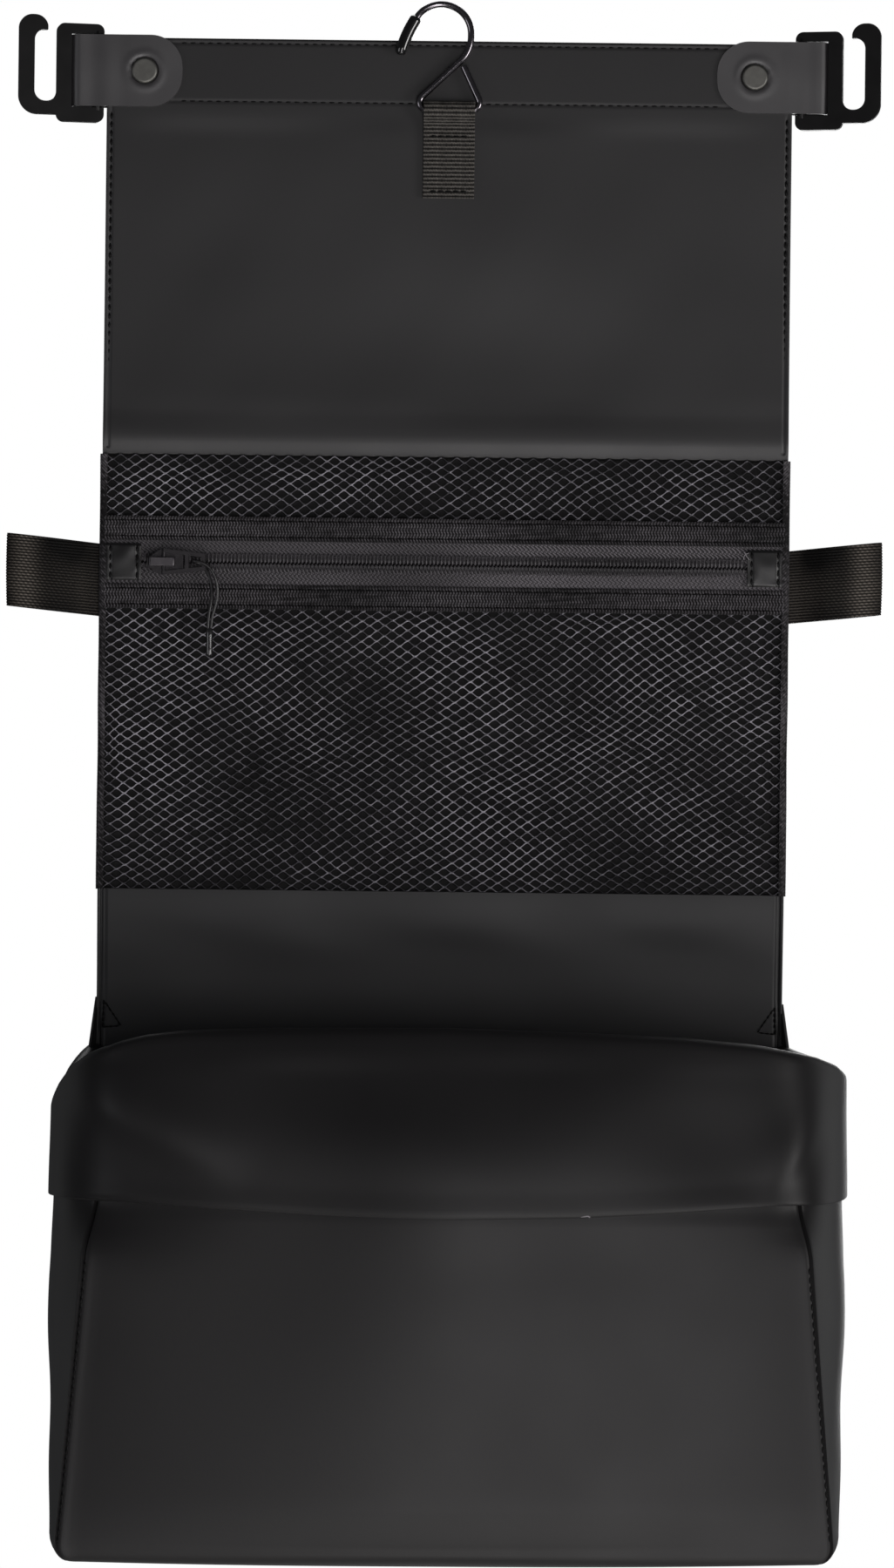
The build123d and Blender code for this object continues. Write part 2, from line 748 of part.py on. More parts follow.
with BuildPart() as pull_cord_tip:
    with BuildSketch(Plane((cord_tip_x, cord_tip_y, cord_tip_z - cord_tip_length))):
        Circle(cord_tip_diameter / 2)
    extrude(amount=cord_tip_length)
    fillet(edges().sort_by(Axis.Z)[0], radius=cord_tip_diameter / 4)
save(pull_cord_tip, "pull_cord_tip")

# ======== pouch ========
section_heights = (pouch_top_z, pouch_middle_z, pouch_bottom_z + base_thickness)


def pouch_outline(z, back, side, front, grow):
    """The pouch's level outline: flat back and front, gussets bulging at half depth."""
    back_half = panel_half + back + grow
    side_half = panel_half + side + grow
    front_half = panel_half + front + grow
    middle_y = (back_y + pouch_front_y) / 2
    back_line = back_y + grow
    front_line = pouch_front_y - grow
    with BuildSketch(Plane.XY.offset(z)) as outline:
        with BuildLine():
            Line((-back_half, back_line), (back_half, back_line))
            ThreePointArc((back_half, back_line), (side_half, middle_y), (front_half, front_line))
            Line((front_half, front_line), (-front_half, front_line))
            ThreePointArc(
                (-front_half, front_line), (-side_half, middle_y), (-back_half, back_line)
            )
        make_face()
    return outline.sketch


def pouch_body(grow, mode=Mode.ADD):
    """Adds or cuts the pouch's whole outer form, grown outward by a distance."""
    reaches = zip(section_heights, back_reach, gusset_reach, front_reach)
    outlines = [pouch_outline(z, back, side, front, grow) for z, back, side, front in reaches]
    loft(outlines, ruled=True, mode=mode)


def below_rim(raised):
    """Keeps only what is below the rim line, which dips over the gussets."""
    middle_x = (rim_flat_half_width + rim_side_half_width) / 2
    middle_z = rim_front_z + (rim_side_z - rim_front_z) * 0.22
    with BuildSketch(Plane.XZ.offset(-back_y - pouch_depth)) as outline:
        with BuildLine():
            Polyline(
                (rim_side_half_width, rim_side_z + raised),
                (rim_side_half_width + 20, rim_side_z + raised),
                (rim_side_half_width + 20, pouch_bottom_z - 20),
                (-rim_side_half_width - 20, pouch_bottom_z - 20),
                (-rim_side_half_width - 20, rim_side_z + raised),
                (-rim_side_half_width, rim_side_z + raised),
            )
            ThreePointArc(
                (-rim_side_half_width, rim_side_z + raised),
                (-middle_x, middle_z + raised),
                (-rim_flat_half_width, rim_front_z + raised),
            )
            Line(
                (-rim_flat_half_width, rim_front_z + raised),
                (rim_flat_half_width, rim_front_z + raised),
            )
            ThreePointArc(
                (rim_flat_half_width, rim_front_z + raised),
                (middle_x, middle_z + raised),
                (rim_side_half_width, rim_side_z + raised),
            )
        make_face()
    extrude(outline.sketch, amount=3 * pouch_depth, mode=Mode.INTERSECT)


def keep_box(x_low, x_high, y_front, y_back, z_low, z_high):
    """Keeps only what is inside a box."""
    with BuildSketch(Plane.XY.offset(z_low)) as outline:
        with Locations(((x_low + x_high) / 2, (y_front + y_back) / 2)):
            Rectangle(x_high - x_low, y_back - y_front)
    extrude(outline.sketch, amount=z_high - z_low, mode=Mode.INTERSECT)


floor_z = pouch_bottom_z + base_thickness
far = panel_width
with BuildPart() as pouch_back:
    pouch_body(0)
    keep_box(-far, far, front_y, back_y, floor_z, pouch_top_z)
save(pouch_back, "pouch_back")

front_wall_y = pouch_front_y + wall
with BuildPart() as pouch_front:
    pouch_body(0)
    below_rim(0)
    keep_box(-far, far, pouch_front_y, front_wall_y, floor_z, pouch_top_z)
save(pouch_front, "pouch_front")

with BuildPart() as left_gusset:
    pouch_body(0)
    below_rim(0)
    pouch_body(-wall, mode=Mode.SUBTRACT)
    keep_box(-far, 0, front_wall_y, front_y, floor_z, pouch_top_z)
save(left_gusset, "left_gusset")
save_mirrored(left_gusset.part, "right_gusset")

base_reach = (back_reach[-1], gusset_reach[-1], front_reach[-1])
with BuildPart() as pouch_base:
    extrude(pouch_outline(pouch_bottom_z, *base_reach, 0), amount=base_thickness)
save(pouch_base, "pouch_base")

# The cuff is the pouch's top edge, turned out over the rim and hanging outside the walls.
with BuildPart() as cuff_room:
    pouch_body(cuff_gap)
    below_rim(cuff_gap)
with BuildPart() as pouch_cuff:
    pouch_body(cuff_outer)
    below_rim(cuff_outer)
    keep_box(-far, far, -far, front_y - joint_gap, cuff_bottom_z, pouch_top_z)
    add(cuff_room.part, mode=Mode.SUBTRACT)
    pouch_body(-wall - cuff_gap, mode=Mode.SUBTRACT)
save(pouch_cuff, "pouch_cuff")
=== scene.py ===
import math

import bpy
import numpy as np
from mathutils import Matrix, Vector


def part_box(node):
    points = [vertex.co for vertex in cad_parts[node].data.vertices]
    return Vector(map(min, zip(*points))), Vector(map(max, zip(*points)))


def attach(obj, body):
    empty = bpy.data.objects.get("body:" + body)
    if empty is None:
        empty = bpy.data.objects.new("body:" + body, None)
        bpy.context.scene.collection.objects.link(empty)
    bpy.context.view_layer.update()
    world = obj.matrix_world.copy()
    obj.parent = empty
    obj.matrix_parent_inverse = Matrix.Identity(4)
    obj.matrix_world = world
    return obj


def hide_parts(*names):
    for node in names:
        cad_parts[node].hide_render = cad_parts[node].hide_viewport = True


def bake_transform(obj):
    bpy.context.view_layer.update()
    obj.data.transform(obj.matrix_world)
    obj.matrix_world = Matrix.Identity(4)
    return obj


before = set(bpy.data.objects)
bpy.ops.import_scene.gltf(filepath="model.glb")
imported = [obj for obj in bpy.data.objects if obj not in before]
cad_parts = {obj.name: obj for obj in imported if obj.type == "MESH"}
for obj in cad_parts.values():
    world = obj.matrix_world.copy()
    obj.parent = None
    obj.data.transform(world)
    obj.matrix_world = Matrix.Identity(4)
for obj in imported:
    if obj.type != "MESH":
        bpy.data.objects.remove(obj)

# Hanging toiletry bag, hanging open.  Shapes are worked out in millimetres, as in the frame's axes:
# +Z up, the front faces -Y.  piece() turns them into metres.
scene = bpy.context.scene
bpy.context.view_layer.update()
MM = 0.001
FRONT = np.array([0.0, -1.0, 0.0])


# ======== shapes ========
def ramp(x, low, high):
    """0 below low, 1 above high, smooth between."""
    t = np.clip((x - low) / (high - low), 0, 1)
    return t * t * (3 - 2 * t)


def bell(x, width):
    return np.exp(-((x / width) ** 2))


def drift(x, z, seed, size):
    """A smooth random field from -1 to 1, with waves about size long."""
    rng = np.random.default_rng(seed)
    total = np.zeros(np.broadcast(x, z).shape)
    for _ in range(7):
        angle, phase = rng.uniform(0, 2 * math.pi, 2)
        rate = 2 * math.pi / (size * rng.uniform(0.7, 1.7))
        total += np.sin(rate * (x * math.cos(angle) + z * math.sin(angle)) + phase)
    return total / 4


def spaced(*marks):
    """Numbers from (value, step to the next one) marks, ending at the last mark."""
    out = []
    for (a, step), (b, _) in zip(marks, marks[1:]):
        count = max(1, round(abs(b - a) / step))
        out += list(np.linspace(a, b, count, endpoint=False))
    return np.array(out + [marks[-1][0]])


def piece(name, points, faces, materials, tone=None, sharp=42):
    """A mesh object from points in millimetres."""
    mesh = bpy.data.meshes.new(name)
    points = np.asarray(points, float).reshape(-1, 3)
    mesh.from_pydata((points * MM).tolist(), [], faces)
    mesh.polygons.foreach_set("use_smooth", np.ones(len(mesh.polygons), bool))
    mesh.set_sharp_from_angle(angle=math.radians(sharp))
    if tone is not None:
        layer = mesh.attributes.new("tone", "FLOAT", "POINT")
        layer.data.foreach_set("value", np.asarray(tone, np.float32).ravel())
    for m in materials if isinstance(materials, (list, tuple)) else [materials]:
        mesh.materials.append(m)
    mesh.update()
    obj = bpy.data.objects.new(name, mesh)
    scene.collection.objects.link(obj)
    return obj


def grid_faces(rows, columns, first=0, flip=False):
    r, c = np.meshgrid(np.arange(rows - 1), np.arange(columns - 1), indexing="ij")
    a = first + r * columns + c
    quads = np.stack([a, a + columns, a + columns + 1, a + 1], -1).reshape(-1, 4)
    return (quads[:, ::-1] if flip else quads).tolist()


def rim_of(rows, columns):
    """The places round the edge of a grid, in order."""
    index = np.arange(rows * columns).reshape(rows, columns)
    return np.concatenate(
        [index[0, :-1], index[:-1, -1], index[-1, :0:-1], index[:0:-1, 0]]
    )


def shell(name, front, back, materials, tone=None, soften=0.3):
    """A closed sheet between two matching grids of points, rows running down the front."""
    rows, columns = front.shape[:2]
    count = rows * columns
    rim = rim_of(rows, columns)
    after = np.roll(rim, -1)
    faces = grid_faces(rows, columns) + grid_faces(rows, columns, count, flip=True)
    faces += np.stack([rim, after, after + count, rim + count], -1).tolist()
    points = np.concatenate([front.reshape(-1, 3), back.reshape(-1, 3)])
    if tone is not None:
        tone = np.concatenate([np.ravel(tone), np.ravel(tone)])
    obj = piece(name, points, faces, materials, tone)
    if soften:
        soft_edges(obj, soften)
    return obj


def soft_edges(obj, width, segments=2, angle=50, weld=False):
    if weld:
        merge = obj.modifiers.new("weld", "WELD")
        merge.merge_threshold = 0.00001
    bevel = obj.modifiers.new("bevel", "BEVEL")
    bevel.width = width * MM
    bevel.segments = segments
    bevel.limit_method = "ANGLE"
    bevel.angle_limit = math.radians(angle)


def band(path, normals, across, half, thick, columns, lift=None):
    """Two grids for a strip of webbing: rows follow path, columns run along across."""
    v = np.linspace(-1, 1, columns)
    half = np.broadcast_to(np.asarray(half, float), (len(path),))
    middle = path[:, None] + across * (v[None, :] * half[:, None])[..., None]
    raised = 0 if lift is None else lift(np.arange(len(path)), v)
    front = middle + normals[:, None] * (thick / 2 + raised)[..., None]
    back = middle - normals[:, None] * (thick / 2)
    return front, back


def unit(v):
    return v / np.maximum(np.linalg.norm(v, axis=-1, keepdims=True), 1e-12)


def normals_of(path, across, outside=FRONT):
    """Directions out of a strip's face, square to its path and to across."""
    out = unit(np.cross(unit(np.gradient(path, axis=0)), across))
    return out * np.sign(out[0] @ outside)


def lengths(path):
    """How far along a path each of its points is."""
    return np.concatenate([[0], np.cumsum(np.linalg.norm(np.diff(path, axis=0), axis=1))])


def even(path, step):
    """The same path with points about step apart."""
    path = np.asarray(path, float)
    along = lengths(path)
    at = np.linspace(0, along[-1], max(2, round(along[-1] / step) + 1))
    return np.stack([np.interp(at, along, path[:, k]) for k in range(3)], 1)


def rounded(path, rounds=4):
    """Cuts a path's corners again and again, which makes it a smooth curve."""
    path = np.asarray(path, float)
    for _ in range(rounds):
        a, b = path[:-1], path[1:]
        cut = np.stack([a * 0.75 + b * 0.25, a * 0.25 + b * 0.75], 1).reshape(-1, 3)
        path = np.concatenate([path[:1], cut, path[-1:]])
    return path


def arc(centre, radius, start, end, count, plane=(0, 2)):
    """Points on a circle in the plane of two axes, angles in degrees."""
    angle = np.radians(np.linspace(start, end, count))
    out = np.tile(np.asarray(centre, float), (count, 1))
    out[:, plane[0]] += radius * np.cos(angle)
    out[:, plane[1]] += radius * np.sin(angle)
    return out


def tubes(name, lines, radius, materials, sides=6, up=FRONT, flat=1.0, caps=True, tone=None):
    """Round tubes along many lines with as many points each; flat squeezes them along up."""
    lines = np.asarray(lines, float)
    lines = lines[None] if lines.ndim == 2 else lines
    many, count = lines.shape[:2]
    tangent = unit(np.gradient(lines, axis=1))
    side = unit(np.cross(tangent, up))
    out = np.cross(side, tangent)
    radius = np.broadcast_to(np.asarray(radius, float), (many, count))[..., None, None]
    angle = np.arange(sides) * 2 * math.pi / sides
    ring = (
        side[:, :, None] * np.cos(angle)[None, None, :, None]
        + out[:, :, None] * np.sin(angle)[None, None, :, None] * flat
    )
    points = lines[:, :, None] + ring * radius
    m, r, s = np.meshgrid(
        np.arange(many), np.arange(count - 1), np.arange(sides), indexing="ij"
    )

    def corner(row, turn):
        return (m * count + row) * sides + turn % sides

    quads = np.stack([corner(r, s), corner(r, s + 1), corner(r + 1, s + 1), corner(r + 1, s)], -1)
    faces = quads.reshape(-1, 4).tolist()
    if caps:
        first = (np.arange(many) * count * sides)[:, None]
        faces += (first + np.arange(sides)[::-1]).tolist()
        faces += (first + (count - 1) * sides + np.arange(sides)).tolist()
    if tone is not None:
        tone = np.repeat(np.broadcast_to(tone, (many, count)).ravel(), sides)
    return piece(name, points, faces, materials, tone, sharp=60)


def stitches(path, normal, pitch=3.0, length=2.1, lift=0.28):
    """Centre lines of the thread that shows along a sewn row, its ends sunk a little."""
    path = even(path, 0.4)
    along = lengths(path)
    middles = np.arange(pitch / 2, along[-1] - length / 4, pitch)
    t = np.linspace(-1, 1, 5)
    at = middles[:, None] + t[None, :] * length / 2
    points = np.stack([np.interp(at, along, path[:, k]) for k in range(3)], -1)
    out = (lift * (1 - t**2) - 0.12)[None, :, None]
    return points + np.asarray(normal, float) * out


def sew(name, rows, materials, radius=0.24):
    rows = [np.asarray(r) for r in rows]
    profile = radius * np.array([0.7, 1.0, 1.05, 1.0, 0.7])
    return tubes(name, np.concatenate(rows), profile, materials, sides=6)


def settle(obj, body, slot, *nodes):
    """Rides a piece on its body and hides the CAD nodes it stands for."""
    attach(obj, body)
    if nodes:
        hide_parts(*nodes)
    return obj


# ======== materials ========
def node(tree, kind, inputs=None, **settings):
    new = tree.nodes.new("ShaderNode" + kind)
    for key, value in settings.items():
        setattr(new, key, value)
    for key, value in (inputs or {}).items():
        if isinstance(value, bpy.types.NodeSocket):
            tree.links.new(value, new.inputs[key])
        else:
            new.inputs[key].default_value = value
    return new


def material(name, roughness=0.5, metallic=0.0, specular=0.5, **more):
    made = bpy.data.materials.new(name)
    made.use_nodes = True
    shader = made.node_tree.nodes["Principled BSDF"]
    shader.inputs["Roughness"].default_value = roughness
    shader.inputs["Metallic"].default_value = metallic
    shader.inputs["Specular IOR Level"].default_value = specular
    for key, value in more.items():
        shader.inputs[key.replace("_", " ").title()].default_value = value
    return made, made.node_tree, shader


def paint(tree, shader, dark, light, factor):
    mix = node(tree, "Mix", {"Factor": factor}, data_type="RGBA")
    mix.inputs["A"].default_value = (*dark, 1)
    mix.inputs["B"].default_value = (*light, 1)
    tree.links.new(mix.outputs["Result"], shader.inputs["Base Color"])


def maths(tree, operation, a, b=0.0, clamp=False):
    new = node(tree, "Math", operation=operation, use_clamp=clamp)
    for socket, value in zip(new.inputs, (a, b)):
        if isinstance(value, bpy.types.NodeSocket):
            tree.links.new(value, socket)
        else:
            socket.default_value = value
    return new.outputs[0]


def noise(tree, scale, detail=2.0):
    place = node(tree, "TexCoord").outputs["Object"]
    return node(tree, "TexNoise", {"Vector": place, "Scale": scale, "Detail": detail}).outputs["Fac"]


def bump(tree, shader, height, distance):
    made = node(tree, "Bump", {"Height": height, "Distance": distance * MM})
    tree.links.new(made.outputs[0], shader.inputs["Normal"])


def tone_of(tree):
    return node(tree, "Attribute", attribute_name="tone").outputs["Fac"]


def fabric(name, dark, light, roughness, spread=13.0, gloss=0.5):
    """Coated cloth: slow colour change, fine speckle, and the cloth's grain under the film."""
    made, tree, shader = material(
        name, roughness, specular=gloss, sheen_weight=0.02, sheen_roughness=0.55
    )
    slow = noise(tree, spread, 3.0)
    speck = noise(tree, 900, 2.0)
    weave = noise(tree, 2300, 1.0)
    cloudy = maths(tree, "MULTIPLY", slow, 0.75)
    speckled = maths(tree, "MULTIPLY", speck, 0.25)
    paint(tree, shader, dark, light, maths(tree, "ADD", cloudy, speckled, clamp=True))
    worn = maths(tree, "ADD", maths(tree, "MULTIPLY", slow, 0.2), roughness - 0.1)
    tree.links.new(worn, shader.inputs["Roughness"])
    height = maths(tree, "ADD", maths(tree, "MULTIPLY", speck, 0.6), maths(tree, "MULTIPLY", weave, 0.4))
    bump(tree, shader, height, 0.02)
    return made


def threads(name, dark, light, roughness, grain=0.05, gloss=0.12):
    """Yarn: the piece's own tone runs it from painted shadow to a painted highlight on the thread top, and
    fibres break it up.
    """
    made, tree, shader = material(
        name, roughness, specular=gloss, sheen_weight=0.03, sheen_roughness=0.4
    )
    fibre = noise(tree, 1700)
    factor = maths(tree, "MULTIPLY", tone_of(tree), maths(tree, "ADD", fibre, 0.5), clamp=True)
    paint(tree, shader, dark, light, factor)
    bump(tree, shader, fibre, grain)
    return made


def metal(name, dark, light, roughness, metallic=1.0, grain=0.004, **more):
    """Metal or hard plastic: a slight cloud of colour, wear and grain."""
    made, tree, shader = material(name, roughness, metallic, **more)
    cloud = noise(tree, 500, 3.0)
    paint(tree, shader, dark, light, cloud)
    worn = maths(tree, "ADD", maths(tree, "MULTIPLY", noise(tree, 160, 3.0), 0.16), roughness - 0.08)
    tree.links.new(worn, shader.inputs["Roughness"])
    bump(tree, shader, cloud, grain)
    return made


def grey(value, warm=0.0):
    """A black's own colour: a little towards plum, as dyed and coated blacks are."""
    return (value * (1.03 + warm), value * 0.96, value * (1.04 - warm))


top_cloth = fabric("top_cloth", grey(0.0075), grey(0.0105), 0.45, gloss=0.6)
# low_cloth is the same coated fabric as top_cloth, set darker and bluer as painted shade on the lower
# panel.
low_cloth = fabric("low_cloth", grey(0.0062, -0.05), grey(0.009, -0.05), 0.47, gloss=0.44)
bag_cloth = fabric("bag_cloth", grey(0.005), grey(0.0075), 0.45, gloss=0.25)
# lining_cloth's slow cloud runs from near black to dark grey: partly the lining's own uneven tone, partly
# painted sheen bands where it shows through the net.
lining_cloth = fabric("lining_cloth", grey(0.002), grey(0.009), 0.6, spread=26.0, gloss=0.2)
inner_cloth = fabric("inner_cloth", grey(0.008), grey(0.013), 0.6, gloss=0.3)
strap_cloth = fabric("strap_cloth", grey(0.024), grey(0.036), 0.45, spread=60.0, gloss=1.0)
patch_cloth = fabric("patch_cloth", grey(0.004), grey(0.007), 0.36, gloss=0.45)
thread_mat = threads("sewing_thread", grey(0.002), grey(0.045), 0.4)
pale_thread = metal("pale_thread", grey(0.16), grey(0.32), 0.6, 0.0, grain=0.01)
dark_thread = threads("dark_thread", grey(0.002), grey(0.015), 0.45)
tab_yarn = threads("tab_yarn", grey(0.0012), (0.135, 0.126, 0.115), 0.6)
loop_yarn = threads("loop_yarn", grey(0.001), (0.25, 0.22, 0.19), 0.5, gloss=0.08)
rib_yarn = threads("rib_yarn", grey(0.0012), grey(0.24), 0.6)
tape_yarn = threads("tape_yarn", grey(0.0012), grey(0.26), 0.6)
net_yarn = threads("net_yarn", grey(0.003, -0.03), grey(0.44, -0.03), 0.4, gloss=0.3)
net_shade = threads("net_shade", grey(0.001), grey(0.004), 0.7)
coil_plastic = threads("coil_plastic", grey(0.002), grey(0.12), 0.34, grain=0.01, gloss=0.25)
wire_metal = metal("wire_metal", grey(0.16), grey(0.24), 0.17, grain=0.001)
sleeve_metal = metal(
    "sleeve_metal", grey(0.003), grey(0.005), 0.16, 0.0, grain=0.002,
    specular=0.6, coat_weight=0.5, coat_roughness=0.06,
)
rivet_metal = metal("rivet_metal", (0.12, 0.118, 0.11), (0.2, 0.198, 0.184), 0.5, grain=0.02)
hook_metal = metal(
    "hook_metal", grey(0.0025), grey(0.004), 0.4, 0.0, grain=0.006, specular=0.3
)
slider_metal = metal("slider_metal", grey(0.02), grey(0.04), 0.4, 0.85, grain=0.01)
crown_metal = metal("crown_metal", grey(0.05), grey(0.09), 0.36, 0.85, grain=0.01)
cord_plastic = metal("cord_plastic", grey(0.006), grey(0.02), 0.34, 0.0, grain=0.01, specular=0.6)
tip_plastic = metal(
    "tip_plastic", grey(0.006), grey(0.012), 0.2, 0.0, grain=0.001,
    specular=0.7, coat_weight=0.5, coat_roughness=0.1,
)

# ======== camera ========
camera_data = bpy.data.cameras.new("camera")
camera_data.sensor_fit = "VERTICAL"
camera_data.sensor_height = camera_data.sensor_width = 36
camera_data.lens = 120.2
camera = bpy.data.objects.new("camera", camera_data)
camera.location = (0.0018, -1.8, -0.2664)
camera.rotation_euler = (math.radians(90), math.radians(-0.65), 0)
scene.collection.objects.link(camera)
scene.camera = camera

# ======== pull cord, doubled through the puller, and its tip ========
cord_points = [
    (-80.85, -3.3, -213.9),
    (-80.7, -3.3, -209.6),
    (-79.7, -3.0, -204.3),
    (-79.6, -2.5, -199.2),
    (-81.0, -2.05, -194.6),
    (-83.8, -1.95, -191.6),
    (-86.3, -2.5, -190.9),
    (-86.3, -4.5, -190.9),
    (-84.0, -5.1, -191.1),
    (-80.6, -5.0, -192.6),
    (-78.2, -4.6, -196.6),
    (-77.4, -4.1, -201.6),
    (-78.3, -3.6, -206.4),
    (-79.6, -3.3, -210.2),
    (-79.75, -3.3, -213.9),
]
cord_curve = bpy.data.curves.new("pull_cord_line", "CURVE")
cord_curve.dimensions = "3D"
line = cord_curve.splines.new("NURBS")
line.points.add(len(cord_points) - 1)
for point, (x, y, z) in zip(line.points, cord_points):
    point.co = (x * MM, y * MM, z * MM, 1)
line.order_u = 3
line.use_endpoint_u = True
line.resolution_u = 8
cord_curve.bevel_depth = 0.5 * MM
cord_curve.bevel_resolution = 4
cord_curve.use_fill_caps = True
cord_curve.materials.append(cord_plastic)
pull_cord = bpy.data.objects.new("pull_cord_loop", cord_curve)
scene.collection.objects.link(pull_cord)
settle(pull_cord, "puller", "cord_black", "pull_cord")

tip_low, tip_high = (np.array(corner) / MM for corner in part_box("pull_cord_tip"))
tip_x, tip_y = (tip_low[:2] + tip_high[:2]) / 2
tip_down = np.array([0.0, 0.15, 0.5, 2.5, 4.8, 7.2, 8.9, 9.4, 9.6])
tip_radius = 1.2 * np.array([0.72, 0.9, 1.0, 0.97, 0.94, 0.97, 1.0, 0.86, 0.55])
tip_line = np.stack([np.full(9, tip_x), np.full(9, tip_y), tip_high[2] - tip_down], 1)
cord_tip = tubes("cord_tip_tube", tip_line, tip_radius, tip_plastic, sides=20, up=-FRONT)
settle(cord_tip, "puller", "cord_tip_black", "pull_cord_tip")

# ======== wire hook, sleeve ========
WIRE_RADIUS, SLEEVE_RADIUS = 1.15, 2.1
CROWN_CENTRE, CROWN_RADIUS, CROWN_END = (-3.0, 0, -8.54), 10.2, 146.5
TIP_RADIUS, WIRE_IN_SLEEVE, SLEEVE_LENGTH = 40.0, 12.3, 14.3
crown = arc(CROWN_CENTRE, CROWN_RADIUS, 0, CROWN_END, 60)
heading = math.radians(CROWN_END)
tip_centre = crown[-1] - TIP_RADIUS * np.array([math.cos(heading), 0, math.sin(heading)])


def tip_run(length, count):
    """The gently curved run on from the crown's end."""
    return arc(tip_centre, TIP_RADIUS, CROWN_END, CROWN_END + math.degrees(length / TIP_RADIUS), count)


tip_arc = tip_run(WIRE_IN_SLEEVE, 16)
sleeve_arc = tip_run(SLEEVE_LENGTH, 26)


def fillet_path(corners, radii, count=14):
    """A path of straight runs joined by arcs, in the plane Y = 0."""
    corners = [np.asarray(c, float) for c in corners]
    out = [corners[0]]
    for before, corner, after, radius in zip(corners, corners[1:], corners[2:], radii):
        a, b = unit(before - corner), unit(after - corner)
        half = math.acos(np.clip(a @ b, -1, 1)) / 2
        centre = corner + unit(a + b) * radius / math.sin(half)
        start, end = corner + a * radius / math.tan(half), corner + b * radius / math.tan(half)
        u, v = unit(start - centre), unit(end - centre)
        total = math.acos(np.clip(u @ v, -1, 1))
        for t in np.linspace(0, 1, count):
            out.append(
                centre
                + radius * (math.sin((1 - t) * total) * u + math.sin(t * total) * v) / math.sin(total)
            )
    out.append(corners[-1])
    return np.array(out)


stem = fillet_path(
    [(7.2, 0, -8.54), (7.2, 0, -14.6), (-14.4, 0, -34.8), (11.85, 0, -34.8), (4.74, 0, -19.7)],
    [12.0, 2.7, 2.7],
)
wire_path = np.concatenate([tip_arc[::-1], crown[::-1][1:], stem[1:]])
wire = tubes("wire_hook", even(wire_path, 0.5), WIRE_RADIUS, wire_metal, sides=20)
settle(wire, "hanger", "black_nickel_wire", "hanger_hook")
taper = np.interp(np.arange(26), [0, 1, 2, 21, 24, 25], [0.72, 0.95, 1.0, 0.98, 0.8, 0.45])
sleeve = tubes("hook_sleeve", sleeve_arc, SLEEVE_RADIUS * taper, sleeve_metal, sides=24)
settle(sleeve, "hanger", "sleeve_black", "hanger_tip")

# ======== top panel and pocket lining, one hanging sheet ========
HALF, SIDE_ROW = 118.0, 116.3
HEM_ROWS = (-12.2, -32.2)
FACE_Y, BACK_Y, HEM_BACK_Y = 3.1, 4.9, 6.9
FOLD_Z = -154.2  # where the pocket begins, just under the fold line
xs = spaced((-HALF, 0.4), (-HALF + 4, 2.6), (HALF - 4, 0.4), (HALF, 0.4))
zs = spaced(
    (-10.5, 0.35), (-14.0, 2.0), (-30.5, 0.4), (-34.0, 2.2), (-138.0, 1.2),
    (-149.0, 0.5), (-160.0, 2.0), (-178.0, 4.0), (-204.0, 2.2), (-303.6, 1.0), (-304.2, 1.0),
)
X, Z = np.meshgrid(xs, zs)
calm = (1 - ramp(Z, -44, -36)) * ramp(Z, -146, -132)
calm *= 1 - bell(X, 14.0) * bell(Z + 50, 22.0)
front = FACE_Y - 0.42 * calm * drift(X, Z, 3, 110) - 0.1 * calm * drift(X, Z, 5, 45)
front -= 1.5 * ramp(-Z, 96, 150) ** 2
front -= 0.35 * ramp(-Z, 138, 148) * (1 - ramp(-Z, 148.0, -FOLD_Z))
front += 0.4 * ramp(-Z, 148, -FOLD_Z)
for row in HEM_ROWS:
    front += 0.1 * bell(Z - row, 0.5) * (np.abs(X) < 117)
front += 0.4 * bell(np.abs(X) - SIDE_ROW, 0.45) * (Z < -34) * (Z > -152)
front = np.where(Z < FOLD_Z - 0.2, FACE_Y + 0.25 * drift(X, Z, 9, 40), front)
back = BACK_Y + (HEM_BACK_Y - BACK_Y) * ramp(Z, -44, -35)
back += 0.35 * calm * (1 + drift(X, Z, 3, 95)) * 0.5
for row in HEM_ROWS:
    back -= 0.35 * bell(Z - row, 0.55)
top = shell(
    "top_panel_sheet",
    np.stack([X, front, Z], -1),
    np.stack([X, back, Z], -1),
    [top_cloth, lining_cloth],
    soften=0.35,
)
front_faces = (len(zs) - 1) * (len(xs) - 1)
for i, polygon in enumerate(top.data.polygons):
    if i < front_faces and zs[i // (len(xs) - 1)] < -153.9:
        polygon.material_index = 1
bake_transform(top)
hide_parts("top_panel_front", "top_panel_back", "hem_stiffener", "mid_back_panel", "mid_lining")

rows = []
for row in HEM_ROWS:
    rows.append(stitches([(-93.0, FACE_Y + 0.25, row), (93.0, FACE_Y + 0.25, row)], FRONT))
    rows.append(stitches([(-117.0, 6.7, row), (117.0, 6.7, row)], -FRONT))
for side in (-1, 1):
    x = side * SIDE_ROW
    rows.append(stitches([(x, 3.3, -36), (x, 3.3, -149)], FRONT))
    rows.append(stitches([(x, 4.8, -46), (x, 4.8, -149)], -FRONT))
settle(sew("top_stitches", rows, thread_mat, 0.27), "top_panel", "coated_fabric")

